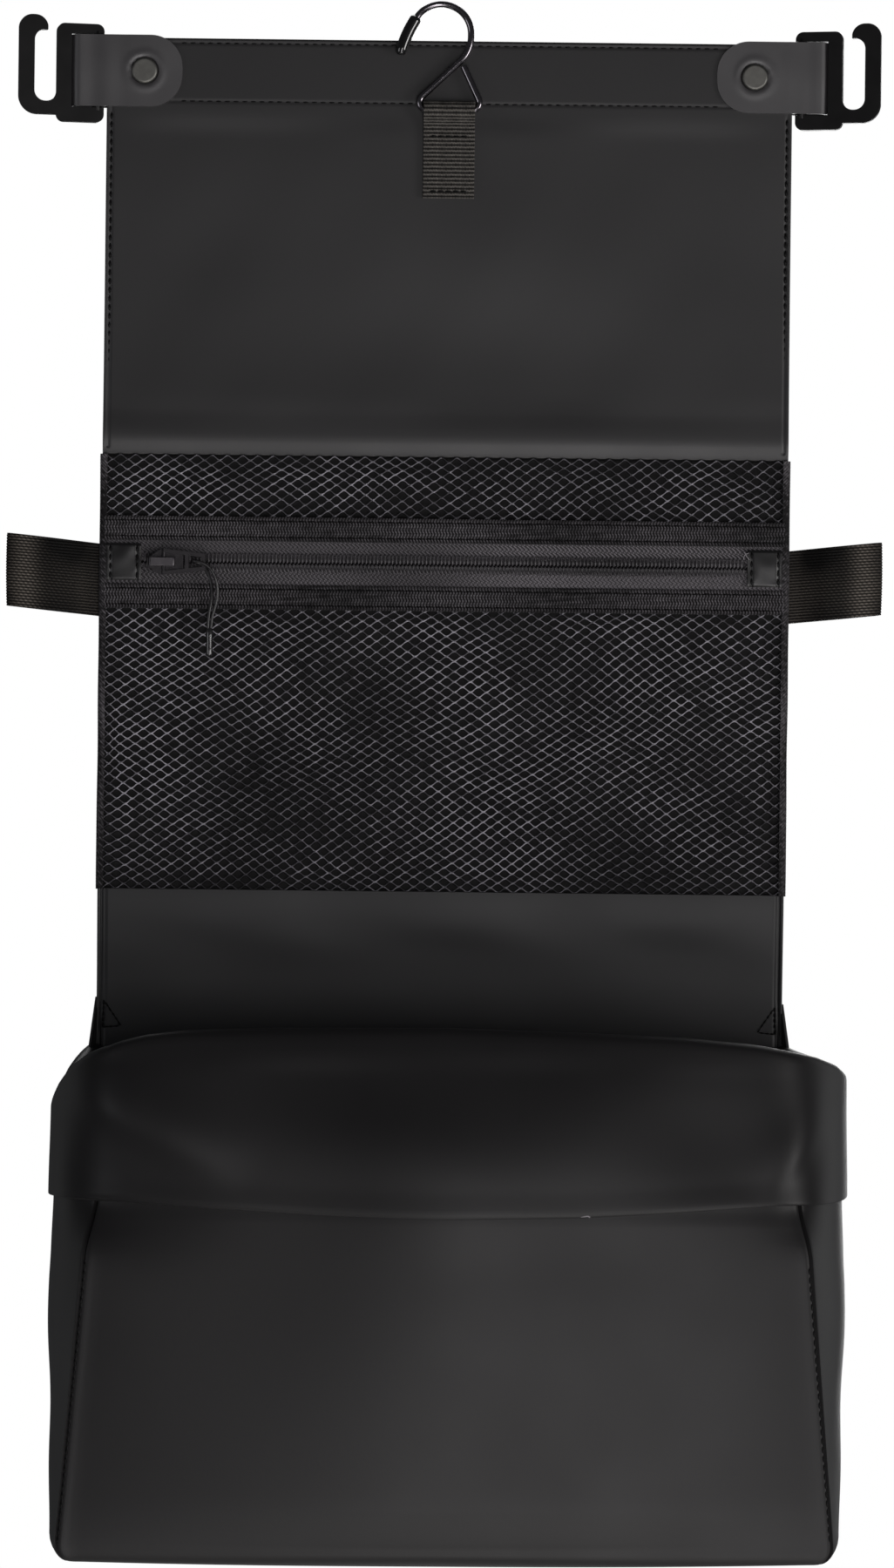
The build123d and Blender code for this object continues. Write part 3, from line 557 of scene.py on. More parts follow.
# ======== webbing tab ========
RIB, TAB_HALF, TAB_STEP, TAB_BEAD = 1.36, 8.8, 0.2, 0.95
BAR_Z, TAB_BOTTOM = -34.8, -64.8
FOLD_RADIUS, LEG_Y, CLOSE_RADIUS = 2.5, 1.2, 3.0
close = math.radians(50)  # how steeply the front leg closes under the eye's bar
back_leg = np.array([(0, FOLD_RADIUS, z) for z in np.linspace(TAB_BOTTOM, BAR_Z, 40)])
over = arc((0, 0, BAR_Z), FOLD_RADIUS, 0, 180 + math.degrees(close), 30, plane=(1, 2))
slant_y = LEG_Y - CLOSE_RADIUS * (1 - math.cos(close))
slant_z = over[-1][2] - (slant_y - over[-1][1]) / math.tan(close)
turn = np.linspace(close, 0, 8)
bend_y = LEG_Y - CLOSE_RADIUS * (1 - np.cos(turn))
bend_z = slant_z - CLOSE_RADIUS * (math.sin(close) - np.sin(turn))
bend = np.stack([np.zeros(len(turn)), bend_y, bend_z], 1)
front_leg = np.array([(0, LEG_Y, z) for z in np.linspace(bend_z[-1] - 0.3, TAB_BOTTOM, 40)])
tab_path = even(np.concatenate([back_leg, over[1:], bend, front_leg]), TAB_STEP)
tab_normal = normals_of(tab_path, [1.0, 0, 0], -FRONT)
tab_columns = 49


def tab_beads(s, c):
    """Where the crossing yarns show on each rib, shifted by half a bead from rib to rib."""
    return np.cos(2 * math.pi * (c / TAB_BEAD + np.floor(s / RIB) * 0.5))


def tab_lift(i, v):
    s, c = np.meshgrid(i * TAB_STEP, v * TAB_HALF, indexing="ij")
    ribs = np.abs(np.cos(math.pi * (s + 0.1 * np.sin(c * 0.9)) / RIB)) ** 0.7
    return 0.42 * ribs + 0.06 * tab_beads(s, c) - 0.25


front, back = band(tab_path, tab_normal, np.array([1.0, 0, 0]), TAB_HALF, 1.05, tab_columns, tab_lift)
along_tab = np.arange(len(tab_path)) * TAB_STEP
s, c = np.meshgrid(along_tab, np.linspace(-TAB_HALF, TAB_HALF, tab_columns), indexing="ij")
# Painted light on the weave: rib tops painted light with painted shade in the gaps between ribs, and the
# crossing beads painted lighter as highlights.
tone = 0.02 + 0.98 * np.abs(np.cos(math.pi * s / RIB)) ** 2.2
tone *= 0.45 + 0.75 * (tab_beads(s, c) > -0.1)
tab = shell("hanger_webbing", front, back, tab_yarn, tone, soften=0.25)
settle(tab, "top_panel", "webbing_black", "hanger_tab")
rows = [
    stitches([(-6.6, 0.45, z), (6.6, 0.45, z)], FRONT, pitch=2.6, length=1.9, lift=0.35)
    for z in (-43.7, -62.6)
]
settle(sew("tab_stitches", rows, dark_thread, 0.3), "top_panel", "webbing_black")

# ======== straps round the buckle bars ========
STRAP_Z, STRAP_Y, STRAP_FOLD, STRAP_TURN_X = -22.0, 5.0, 2.55, 126.9
STRAP_ROUND, RIVET_X, STRAP_COLUMNS = 11.0, 105.0, 41
for side, name in ((-1, "left"), (1, "right")):
    turn_centre = (side * STRAP_TURN_X, STRAP_Y, STRAP_Z)
    fold = arc(turn_centre, STRAP_FOLD, -90, -90 + side * 180, 22, plane=(0, 1))
    fold[:, 0] += side * 0.45 * (1 - ((fold[:, 1] - STRAP_Y) / STRAP_FOLD) ** 2)
    leg = spaced((92.0, 0.25), (103.5, 1.0), (STRAP_TURN_X, 1.0))
    front_leg = np.array([(side * x, STRAP_Y - STRAP_FOLD, STRAP_Z) for x in leg])
    back_leg = front_leg[::-1] * [1, 0, 1] + [0, STRAP_Y + STRAP_FOLD, 0]
    path = np.concatenate([front_leg[:-1], fold, back_leg[1:]])
    normals = normals_of(path, [0, 0, 1.0])
    along = lengths(path)
    end = np.clip(STRAP_ROUND - np.minimum(along, along[-1] - along), 0, STRAP_ROUND)
    half = 1.3 + np.sqrt(np.maximum(STRAP_ROUND**2 - end**2, 0.01))

    def strap_lift(i, v):
        X, V = np.meshgrid(np.abs(path[i, 0]), v, indexing="ij")
        tall = V * half[i][:, None]
        off = np.hypot(X - RIVET_X, tall)
        ring = -0.9 * bell(off - 4.15, 0.45) + 0.16 * bell(off - 6.2, 1.2)
        ripple = 0.18 * np.sin(X * 0.55) * ramp(X, 108, 124) + 0.12 * drift(X, tall, 21, 22)
        return np.where((np.arange(len(i)) < len(i) // 2)[:, None], ring + ripple, ring * 0.6)

    front, back = band(path, normals, np.array([0, 0, 1.0]), half, 1.3, STRAP_COLUMNS, strap_lift)
    strap = shell(f"{name}_strap_band", front, back, strap_cloth, soften=0.25)
    settle(strap, "top_panel", "strap_coated", f"{name}_strap")

# ======== mesh pocket: two nets, threads knotted in diamonds ========
CELL_W, CELL_H, NET_HALF = 2.62, 1.72, 117.0


def net(name, z_top, z_bottom, seed, node_name):
    rows = round((z_top - z_bottom) / CELL_H)
    columns = round(2 * NET_HALF / CELL_W)
    i, j = np.meshgrid(np.arange(columns), np.arange(rows), indexing="ij")
    i, j = i.ravel(), j.ravel()
    down = np.where((i + j) % 2 == 0, 1, -1)
    t = np.linspace(0, 1, 5)
    u = i[:, None] + t
    w = j[:, None] + np.where(down[:, None] > 0, t, 1 - t)
    tall = (z_top - z_bottom) / rows
    wide = 2 * NET_HALF / columns
    bow = 0.1 * np.sin(2 * math.pi * t)[None, :] * down[:, None]
    x = -NET_HALF + u * wide
    z = z_top - w * tall + bow
    inside = ramp(-np.abs(x), -NET_HALF, -108) * ramp(z, z_bottom, z_bottom + 9)
    inside *= 1 - ramp(z, z_top - 9, z_top)
    y = 1.05 - 0.55 * inside * (1 + drift(x, z * 1.7, seed, 58))
    y += down[:, None] * 0.14 * np.cos(2 * math.pi * t)
    x = x + 1.3 * inside * drift(x, z, seed + 1, 60)
    z = z + 0.9 * inside * drift(x, z, seed + 2, 48)
    # Painted light on the net's yarn: knots painted brighter as highlights, broad bands of painted
    # highlight, threads running down to the right painted a little darker than those running up, as light
    # catching one way, and painted shade towards the net's edges; own is each thread's random tone.
    knot_highlights = 0.55 + 0.45 * np.abs(np.cos(math.pi * t))[None, :] ** 3
    lines = np.stack([x, y, z], -1)
    painted_light_bands = 0.7 + 0.4 * drift(x, z * 2.2 + x * 0.9, seed + 3, 75)
    own = np.random.default_rng(seed + 4).uniform(0.3, 1.6, (len(i), 1))
    lean = np.where(down[:, None] > 0, 0.8, 1.0)
    tone = np.clip(knot_highlights * painted_light_bands * own * lean, 0.03, 1.0) * (0.5 + 0.5 * inside)
    thick = 0.17 * (1 + 0.6 * np.abs(np.cos(math.pi * t)) ** 4)
    made = tubes(name, lines, thick, net_yarn, sides=4, flat=0.75, caps=False, tone=tone)
    settle(made, "mesh_panel", "mesh_grey", node_name)
    # wider dark threads just behind, for the shadow in the net's own depth
    under = lines + [0.0, 0.28, -0.14]
    shade = tubes(name + "_under", under, 0.36, net_shade, sides=4, flat=0.5, caps=False, tone=tone)
    settle(shade, "mesh_panel", "mesh_grey")


net("pocket_net_upper", FOLD_Z, -178.2, 31, "mesh_upper")
net("pocket_net_lower", -204.2, -303.6, 41, "mesh_lower")


# ======== zip: tapes, coils, ribbed bindings, end patches ========
def flat_strip(name, x_half, z_low, z_high, y_front, y_back, step, rows, lift, mat, tone_fn):
    xs = np.linspace(-x_half, x_half, round(2 * x_half / step) + 1)
    X, Z = np.meshgrid(xs, np.linspace(z_high, z_low, rows))
    front = np.stack([X, y_front - lift(X, Z), Z], -1)
    back = np.stack([X, np.full_like(X, y_back), Z], -1)
    return shell(name, front, back, mat, tone_fn(X, Z), soften=0)


ZIP_Z = -191.2
TAPE_HALF, BINDING_HALF, COIL_HALF, COIL_TURNS = 116.6, 117.2, 103.2, 160
RIB_PITCH, SEWN_OFF = 1.05, 2.75


def tape_lift(X, Z):
    return 0.1 * np.cos(1.1 * math.pi * (X + 0.9 * np.abs(Z - ZIP_Z)))


def tape_tone(X, Z):
    """A zigzag twill, painted light on its ridges and painted shade between them, and painted a little
    paler towards the right as light from that side.
    """
    twill = (0.5 + 0.5 * np.cos(2 * math.pi * (X / 1.5 + np.abs((Z * 0.9) % 2 - 1)))) ** 2
    return np.clip(twill * (0.55 + 0.3 * ramp(X, -60, 90) + 0.2 * drift(X, Z, 7, 60)), 0.02, 1)


for sign, name in ((1, "upper"), (-1, "lower")):
    low, high = sorted((ZIP_Z + sign * 0.5, ZIP_Z + sign * 13.0))
    tape = flat_strip(
        f"zip_tape_{name}_cloth", TAPE_HALF, low, high, 0.85, 1.4, 0.5, 29, tape_lift, tape_yarn, tape_tone
    )
    settle(tape, "mesh_panel", "zip_tape_black", f"zip_tape_{name}")
    # coil: one flattened spring sewn to the tape's edge
    a = np.linspace(0, COIL_TURNS * 2 * math.pi, COIL_TURNS * 12 + 1)
    lean = 0.25 * np.cos(a)
    spring = np.stack(
        [
            -COIL_HALF + 2 * COIL_HALF * a / a[-1] + lean * sign,
            -0.1 - 0.5 * np.sin(a),
            ZIP_Z + sign * (1.62 - 1.42 * np.cos(a)),
        ],
        1,
    )
    # painted highlight on the front half of each coil turn, strongest at its bends, over random tone
    ring = 0.42 + 0.5 * (np.sin(a) > 0) * np.abs(np.cos(a)) ** 0.5
    ring = ring * (0.75 + 0.3 * drift(spring[:, 0], spring[:, 2], 17, 90))
    coil = tubes(
        f"zip_coil_{name}", spring, 0.27, coil_plastic, sides=5, up=np.array([1.0, 0, 0]), tone=ring
    )
    settle(coil, "mesh_panel", "zip_teeth_black", f"zip_teeth_{name}")
    # ribbed binding over the tape's outer edge
    low, high = sorted((ZIP_Z + sign * 7.5, ZIP_Z + sign * 15.9))
    middle = (low + high) / 2

    def rib_wave(X, Z):
        return np.cos(2 * math.pi * (X + 0.25 * np.sin(Z * 2.2)) / RIB_PITCH)

    def rib_lift(X, Z, middle=middle):
        off = np.abs(Z - middle)
        edge = bell(off - 3.7, 0.5)
        sewn = bell(off - SEWN_OFF, 0.28)
        return 0.14 * rib_wave(X, Z) * (1 - edge) + 0.12 * edge + 0.1 * bell(off, 2.2) - 0.2 * sewn

    def rib_tone(X, Z, middle=middle):
        off = np.abs(Z - middle)
        # Painted light on the ribs: rib tops painted light and the gaps dark as highlight and shade, beads
        # painted lighter where the crossing yarn rises, and shadow paints shade along the sunk sewn rows
        # and towards the edges; patchy is random tone.
        ribs = 0.5 + 0.5 * rib_wave(X, Z)
        beads = 0.5 + 0.5 * np.cos(2 * math.pi * Z / 0.9)
        body = 0.01 + ribs**3 * (0.35 + 0.65 * beads)
        patchy = 0.62 + 0.3 * drift(X, Z, 19, 60) + 0.25 * drift(X, Z * 4, 20, 9)
        shadow = (1 - 0.75 * bell(off - SEWN_OFF, 0.35)) * (1 - 0.7 * ramp(off, 3.4, 4.2))
        return np.clip(body * patchy * shadow, 0, 1)

    binding = flat_strip(
        f"zip_binding_{name}_rib",
        BINDING_HALF, low, high, 0.22, 0.75, RIB_PITCH / 4, 31, rib_lift, rib_yarn, rib_tone,
    )
    settle(binding, "mesh_panel", "grosgrain_black", f"zip_binding_{name}")
    rows = [
        stitches([(-112, 0.12, middle + off), (112, 0.12, middle + off)], FRONT, pitch=3.4, length=2.2)
        for off in (-SEWN_OFF, SEWN_OFF)
    ]
    settle(sew(f"zip_binding_{name}_stitches", rows, thread_mat, 0.17), "mesh_panel", "grosgrain_black")

PATCH_X, PATCH_ROWS = 116.0, (1.3, 10.4)
LOOP_STEP, LOOP_HALF, LOOP_COLUMNS = 0.8, 12.5, 131
for side, name in ((-1, "left"), (1, "right")):
    a = spaced((0, 0.3), (2.4, 0.8), (9.4, 0.3), (11.8, 0.3))
    b = spaced((-6.3, 0.35), (-5.0, 0.9), (5.0, 0.35), (6.3, 0.35))[::-1]
    A, Z = np.meshgrid(a, b)
    if side > 0:
        A = A[:, ::-1]
    X = side * (PATCH_X - A)
    puff = 0.3 * np.sin(math.pi * A / 11.8) * np.cos(math.pi * Z / 12.6) ** 0.6
    sunk = 0.3 * bell(A - PATCH_ROWS[0], 0.35) + 0.3 * bell(A - PATCH_ROWS[1], 0.35)
    y = -0.7 - puff + sunk + 0.35 * ramp(np.abs(Z), 5.6, 6.3) + 0.12 * drift(X, Z, 27, 8)
    patch = shell(
        f"zip_patch_{name}_cover",
        np.stack([X, y, ZIP_Z + Z], -1),
        np.stack([X, np.full_like(X, 0.05), ZIP_Z + Z], -1),
        patch_cloth,
        soften=0.15,
    )
    settle(patch, "mesh_panel", "patch_coated", f"zip_patch_{name}")
    row_xs = [side * (PATCH_X - inward) for inward in PATCH_ROWS]
    rows = [stitches([(x, -0.62, ZIP_Z - 6.0), (x, -0.62, ZIP_Z + 6.0)], FRONT) for x in row_xs]
    settle(sew(f"zip_patch_{name}_stitches", rows, dark_thread, 0.26), "mesh_panel", "patch_coated")

    # edge binding: knitted tape folded round the panel's side
    profile = rounded(
        [(side * 116.2, 0.25, 0), (side * 117.6, 0.25, 0), (side * 118.6, 1.0, 0), (side * 118.7, 3.0, 0),
         (side * 118.5, 5.0, 0), (side * 117.0, 5.35, 0), (side * 113.2, 5.3, 0)], 2
    )
    profile = even(profile, 0.55)
    P, ZZ = np.meshgrid(np.arange(len(profile)), spaced((-154.1, 0.55), (-303.8, 0.55)))
    outward = np.stack([profile[P, 0] - side * 116.0, profile[P, 1] - 2.9, np.zeros_like(ZZ)], -1)
    outward = unit(outward * [1, 0.9, 1])
    bumps = 0.09 * np.cos(2 * math.pi * ZZ / 1.1) * np.cos(2 * math.pi * P / 2.0)
    bumps = bumps + 0.1 * drift(ZZ, P * 2.0, 51, 30)
    wrapped = np.stack([profile[P, 0], profile[P, 1], ZZ], -1)
    outer = wrapped + outward * bumps[..., None]
    inner = wrapped - outward * 0.45
    if side < 0:
        outer, inner = outer[:, ::-1], inner[:, ::-1]
        bumps = bumps[:, ::-1]
    # Painted light: the tape's raised bumps painted lighter and its hollows darker, over random tone.
    tone = np.clip(0.06 + 2.2 * bumps + 0.25 * drift(ZZ * 3, P * 3.0, 52, 4), 0.02, 0.7)
    if side > 0:
        outer, inner, tone = outer[:, ::-1], inner[:, ::-1], tone[:, ::-1]
    tape = shell(f"{name}_edge_tape", outer, inner, rib_yarn, tone, soften=0)
    settle(tape, "mesh_panel", "grosgrain_black", f"{name}_edge_binding")

    # side loop of webbing
    tilt = math.radians(6)
    out_dir = np.array([side * math.cos(tilt), 0, math.sin(tilt)])
    tall_dir = np.array([0, 0, 1.0])
    origin = np.array([side * HALF, 0, -197.4])
    flat_path = [
        (-12.0, 6.4), (2.5, 6.4), (9.0, 4.2), (15.0, 2.4), (25.0, 2.5), (32.0, 3.2), (32.4, 4.6),
        (32.4, 8.8), (32.0, 10.2), (25.0, 10.9), (15.0, 11.0), (3.5, 7.9), (-12.0, 7.9),
    ]
    path = np.array([origin + out_dir * u + [0, y, 0] for u, y in flat_path])
    path = even(rounded(path, 4), LOOP_STEP)
    normals = normals_of(path, tall_dir)

    def loop_lift(i, v):
        S, V = np.meshgrid(i * LOOP_STEP, v * LOOP_HALF, indexing="ij")
        lines = np.cos(2 * math.pi * (V + 0.03 * S))
        sag = 0.35 * drift(S, V, 61, 30)
        return 0.1 * lines + sag * ramp(np.abs(S - 45), 50, 30)

    front, back = band(path, normals, tall_dir, LOOP_HALF, 1.25, LOOP_COLUMNS, loop_lift)
    along_loop = np.arange(len(path)) * LOOP_STEP
    S, V = np.meshgrid(along_loop, np.linspace(-LOOP_HALF, LOOP_HALF, LOOP_COLUMNS), indexing="ij")
    # Painted light on the webbing: painted shade between its lines and across the weave, and lit_part
    # paints a highlight near the outer bend and a weaker one at the bend by the panel's edge, over random
    # tone.
    tone = (0.5 + 0.5 * np.cos(2 * math.pi * (V + 0.03 * S))) ** 2
    tone = 0.03 + 0.97 * tone * (0.6 + 0.4 * np.cos(2 * math.pi * (S / 1.6 + V * 0.5)))
    lit_part = 0.1 + 0.15 * drift(S, V * 1.3, 67, 26) + 0.9 * bell(S - 39, 4.5) + 0.3 * bell(S - 15, 5)
    tone *= np.clip(lit_part, 0.03, 1)
    if side > 0:
        front, back, tone = front[:, ::-1], back[:, ::-1], tone[:, ::-1]
    loop = shell(f"{name}_loop_webbing", front, back, loop_yarn, tone, soften=0.2)
    settle(loop, "mesh_panel", "webbing_black", f"{name}_loop")

# ======== lower panel and pouch back, one sheet ========
MIDDLE_Y, POUCH_FRONT = -50.1, -105.1
HEIGHTS = (-516.0, -430.0, -340.0)


def half_at(z, low, middle, high):
    return np.interp(z, HEIGHTS, (low, middle, high))


def back_half(z):
    return half_at(z, 122.0, 120.5, 118.0)


v = spaced((-1, 0.0035), (-0.96, 0.022), (0.96, 0.0035), (1, 0.0035))
zs = spaced((-303.4, 0.5), (-306, 1.6), (-334, 0.6), (-352, 3.0), (-516, 3.0))
V, Z = np.meshgrid(v, zs)
X = V * back_half(Z)
inset = np.abs(X) - back_half(Z)
front = 0.35 + 2.75 * ramp(-Z, 304.5, 336)
front -= 0.5 * ramp(-Z, 312, 325) * drift(X, Z, 71, 70) * ramp(Z, -350, -335)
front += 0.75 * bell(inset + 1.5, 0.45) + 0.3 * bell(inset + 2.7, 0.4)
front -= 0.35 * bell(inset + 0.6, 0.6)
back = BACK_Y + 0.4 * ramp(-Z, 350, 400) * (1 + drift(X, Z, 77, 90))
low_sheet = shell(
    "lower_panel_sheet", np.stack([X, front, Z], -1), np.stack([X, back, Z], -1), low_cloth, soften=0.35
)
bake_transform(low_sheet)
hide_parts("lower_panel", "pouch_back")

rows = []
for side in (-1, 1):
    x = side * 115.3
    rows.append(stitches([(x, 3.25, -308), (x, 3.25, -333)], FRONT))
    rows.append(stitches([(side * 116.6, 4.85, -308), (side * 116.6, 4.85, -333)], -FRONT))
settle(sew("lower_stitches", rows, thread_mat, 0.2), "mesh_panel", "coated_fabric")
rows = []
for side in (-1, 1):
    corners = [(115.6, -342.0), (115.9, -351.4), (109.6, -350.8), (115.6, -342.0)]
    for (xa, za), (xb, zb) in zip(corners, corners[1:]):
        rows.append(stitches([(side * xa, 2.95, za), (side * xb, 2.95, zb)], FRONT, pitch=1.9, length=1.6))
settle(sew("corner_stitches", rows, dark_thread, 0.3), "pouch", "coated_fabric")

# ======== pouch: one shell of gussets, front and base, and the turned-down cuff ========
def through(p, q, r, count):
    """count points on the circle through three points, from p to r."""
    (ax, ay), (bx, by), (cx, cy) = p, q, r
    d = 2 * (ax * (by - cy) + bx * (cy - ay) + cx * (ay - by))
    ux = ((ax**2 + ay**2) * (by - cy) + (bx**2 + by**2) * (cy - ay) + (cx**2 + cy**2) * (ay - by)) / d
    uy = ((ax**2 + ay**2) * (cx - bx) + (bx**2 + by**2) * (ax - cx) + (cx**2 + cy**2) * (bx - ax)) / d
    radius = math.hypot(ax - ux, ay - uy)
    angles = np.unwrap([math.atan2(y - uy, x - ux) for x, y in (p, q, r)])
    t = np.linspace(angles[0], angles[2], count)
    return np.stack([ux + radius * np.cos(t), uy + radius * np.sin(t)], 1)


def outline(z, grow, start_y):
    """The pouch's level outline at z, from its back left, round the front, to its back right."""
    back, side, front = (
        float(half_at(z, *reaches)) + grow
        for reaches in ((122.0, 120.5, 118.0), (130.0, 132.2, 130.5), (125.5, 118.0, 110.5))
    )
    belly = POUCH_FRONT - grow
    bulge = through((back, BACK_Y + grow), (side, MIDDLE_Y), (front, belly), 60)
    start = [np.interp(-start_y, -bulge[:, 1], bulge[:, 0]), start_y]
    bulge = np.concatenate([[start], bulge[bulge[:, 1] < start_y]])
    walk = lengths(bulge)
    near = np.array([5.0, 3.4, 2.4, 1.6, 1.0, 0.5])
    at = np.sort(np.concatenate([np.linspace(0, walk[-1] - 8, 30), walk[-1] - near, walk[-1:]]))
    right = np.stack([np.interp(at, walk, bulge[:, k]) for k in range(2)], 1)
    s = np.concatenate([near[::-1], np.linspace(8.0, front * 2 - 8.0, 72), 2 * front - near])
    straight = np.stack([front - s, np.full_like(s, belly)], 1)
    return np.concatenate([right, straight, right[::-1] * [-1, 1]])[::-1]


def rim_height(x):
    """How high the pouch's rim is: nearly level along the front, dipping over the gussets."""
    left = np.interp(
        -x,
        [0, 57, 87, 99, 108, 114, 118, 123, 127, 130, 134],
        [-348.0, -348.3, -349.2, -350.6, -352.8, -354.8, -356.9, -361.2, -366.3, -371.5, -379],
    )
    right = np.interp(
        x,
        [0, 18, 48, 78, 100, 112, 120, 127, 131, 134, 137],
        [-348.0, -348.5, -349.5, -350.8, -352.9, -354.9, -357.2, -360.4, -363.6, -369.0, -377],
    )
    return np.where(x < 0, left, right)


def belly_of(x, z):
    """How far the soft front stands out from its flat place."""
    t = np.clip((-348 - z) / 168, 0, 1)
    round_x = np.clip(1 - ((x - 12) / 136) ** 2, 0, 1)
    out = 8.0 * (0.55 + 0.45 * np.sin(math.pi * t**0.8)) * round_x * np.sqrt(np.clip((1 - t) / 0.1, 0, 1))
    out = out + 0.9 * drift(x, z, 81, 120) * round_x * np.sin(math.pi * t)
    return out - 6.2 * np.clip((z + 402) / 54, 0, 1.1) ** 2


def wall_grid(grow, tops, bottoms, rows, start_y):
    """A grid that follows the pouch's outline between two heights for each column."""
    t = np.linspace(0, 1, rows)[:, None] if np.isscalar(rows) else np.asarray(rows)[:, None]
    grid = np.zeros((len(t), len(tops), 3))
    grid[..., 2] = tops + (bottoms - tops) * t
    levels = np.linspace(-524, -336, 48)
    table = np.array([outline(level, grow, start_y) for level in levels])
    for c in range(len(tops)):
        for k in range(2):
            grid[:, c, k] = np.interp(grid[:, c, 2], levels, table[:, c, k])
    return grid


def round_off(grid, share, width):
    """Rounds a grid's corners by averaging along its rows, as much as share says."""
    walk = lengths(np.pad(grid[len(grid) // 2, :, :2], ((0, 0), (0, 1))))
    reach = np.gradient(walk)
    blur = bell(walk[:, None] - walk[None, :], width) * reach[None, :]
    blur /= blur.sum(1, keepdims=True)
    ends = ramp(np.minimum(walk, walk[-1] - walk), 2, 30)
    soft = np.einsum("ij,rjk->rik", blur, grid[..., :2])
    share = (share * ends)[..., None]
    grid[..., :2] = grid[..., :2] * (1 - share) + soft * share
    return grid


def stand_out(grid):
    """Adds the belly to the front wall, fading round the corners."""
    x, y, z = grid[..., 0], grid[..., 1], grid[..., 2]
    share = ramp(-y, 60, 105)
    grid[..., 1] = y - belly_of(x, z) * share
    sides = np.sign(x) * (0.8 * drift(y, z, 85, 60)) * (1 - share) * ramp(-y, 4, 25)
    grid[..., 0] = x + sides + (2.8 + 0.012 * np.maximum(x, 0)) * ramp(-y, -4, 40)
    grid[..., 2] = z + 0.006 * x * ramp(-y, -4, 40)
    return grid


def ridge(x, z, start, end, above, below, height):
    """A soft fold along a line, steeper on its lower side."""
    (xa, za), (xb, zb) = start, end
    length = math.hypot(xb - xa, zb - za)
    ux, uz = (xb - xa) / length, (zb - za) / length
    along = ((x - xa) * ux + (z - za) * uz) / length
    off = (x - xa) * -uz + (z - za) * ux
    off = off * (1 if ux > 0 else -1)
    window = ramp(along, -0.25, 0.12) * (1 - ramp(along, 0.7, 1.3))
    return height * window * np.where(off > 0, bell(off, above), bell(off, below))


def folds_at(x, z):
    """How far the cuff's soft folds stand out of its front."""
    folds = ridge(x, z, (-128, -361), (-74, -388), 12, 7, 2.4)
    folds -= 4.6 * bell(x + 112, 30) * bell(z + 399, 21)
    folds += ridge(x, z, (135, -360), (110, -392), 9, 5, 1.8)
    folds -= 1.6 * bell(x - 86, 22) * bell(z + 378, 18)
    folds += 1.0 * drift(x, z, 95, 80)
    return folds + 1.4 * bell(x + 30, 45) * bell(z + 384, 16)


base_line = outline(-430, 0, 4.0)
count = len(base_line)
seam = [k for k in range(count) if abs(base_line[k, 1] - POUCH_FRONT) < 0.01]
left_seam, right_seam = seam[0], seam[-1]
rim_line = outline(-352, 0, 4.0)
tops = rim_height(rim_line[:, 0])
tops = np.where(rim_line[:, 1] > 3.0, -341.0 - 4.0 * (4.0 - rim_line[:, 1]), tops)
levels = spaced((-348, 3.0), (-399, 0.5), (-412, 3.0), (-500, 1.3), (-513, 1.3))
walls = wall_grid(0, tops, np.full(count, levels[-1]), (levels[0] - levels) / (levels[0] - levels[-1]), 4.0)
walls = round_off(walls, ramp(walls[..., 2], -420, -402), 15.0)
walls = stand_out(walls)
tucked = ramp(walls[..., 2], -436, -404) * ramp(-walls[..., 2], 352, 362) * ramp(-walls[..., 1], 80, 104)
walls[..., 1] -= (folds_at(walls[..., 0], walls[..., 2]) - 0.3 * ramp(walls[..., 2], -409, -403)) * tucked

# seams between the front and the gussets: a groove, with the front's folded edge beside it
walk = lengths(base_line)
for place, inwards in ((left_seam, 1), (right_seam, -1)):
    off = walk - walk[place]
    groove = 1.7 * bell(off, 0.6) - 0.25 * bell(off - inwards * 2.0, 1.6)
    walls[..., 1] += groove[None, :] * 0.9
    walls[..., 0] -= np.sign(base_line[:, 0]) * groove[None, :] * 0.5
# rounded bottom edge, then the base
bottom = walls[-1]
inward = unit([0, -50.0] - bottom[:, :2])
rounds = []
for a in np.radians(np.linspace(15, 90, 7)):
    ring = bottom.copy()
    ring[:, :2] += inward * 5.0 * (1 - math.cos(a))
    ring[:, 2] -= 5.8 * math.sin(a)
    rounds.append(ring)
edge_ring = rounds[-1]
target_x = np.linspace(-118, 118, count)
for q in np.linspace(0.08, 1, 10):
    ring = edge_ring.copy()
    ring[:, 0] = edge_ring[:, 0] * (1 - q) + target_x * q
    ring[:, 1] = edge_ring[:, 1] * (1 - q) + 4.0 * q
    rounds.append(ring)
pouch_grid = np.concatenate([walls, np.array(rounds)])
rows = []
for place, inside_step in ((left_seam, 2), (right_seam, -2)):
    below_cuff = walls[:, 0, 2] < -411
    path = walls[below_cuff, place + inside_step] + [0, -0.15, 0]
    rows.append(stitches(path, FRONT, pitch=2.9, length=2.0))
settle(sew("pouch_seam_stitches", rows, dark_thread, 0.22), "pouch", "coated_fabric")
sag = ramp(-pouch_grid[..., 2], 470, 517) * np.clip(1 - (pouch_grid[..., 0] / 128) ** 2, 0, 1)
pouch_grid[..., 2] -= 1.5 * sag
pouch = piece("pouch_shell", pouch_grid, grid_faces(len(pouch_grid), count), [bag_cloth, inner_cloth])
wall = pouch.modifiers.new("wall", "SOLIDIFY")
wall.thickness = 1.4 * MM
wall.offset = -1
wall.material_offset = 1
wall.material_offset_rim = 0
settle(pouch, "pouch", "coated_fabric", "pouch_front", "left_gusset", "right_gusset", "pouch_base")

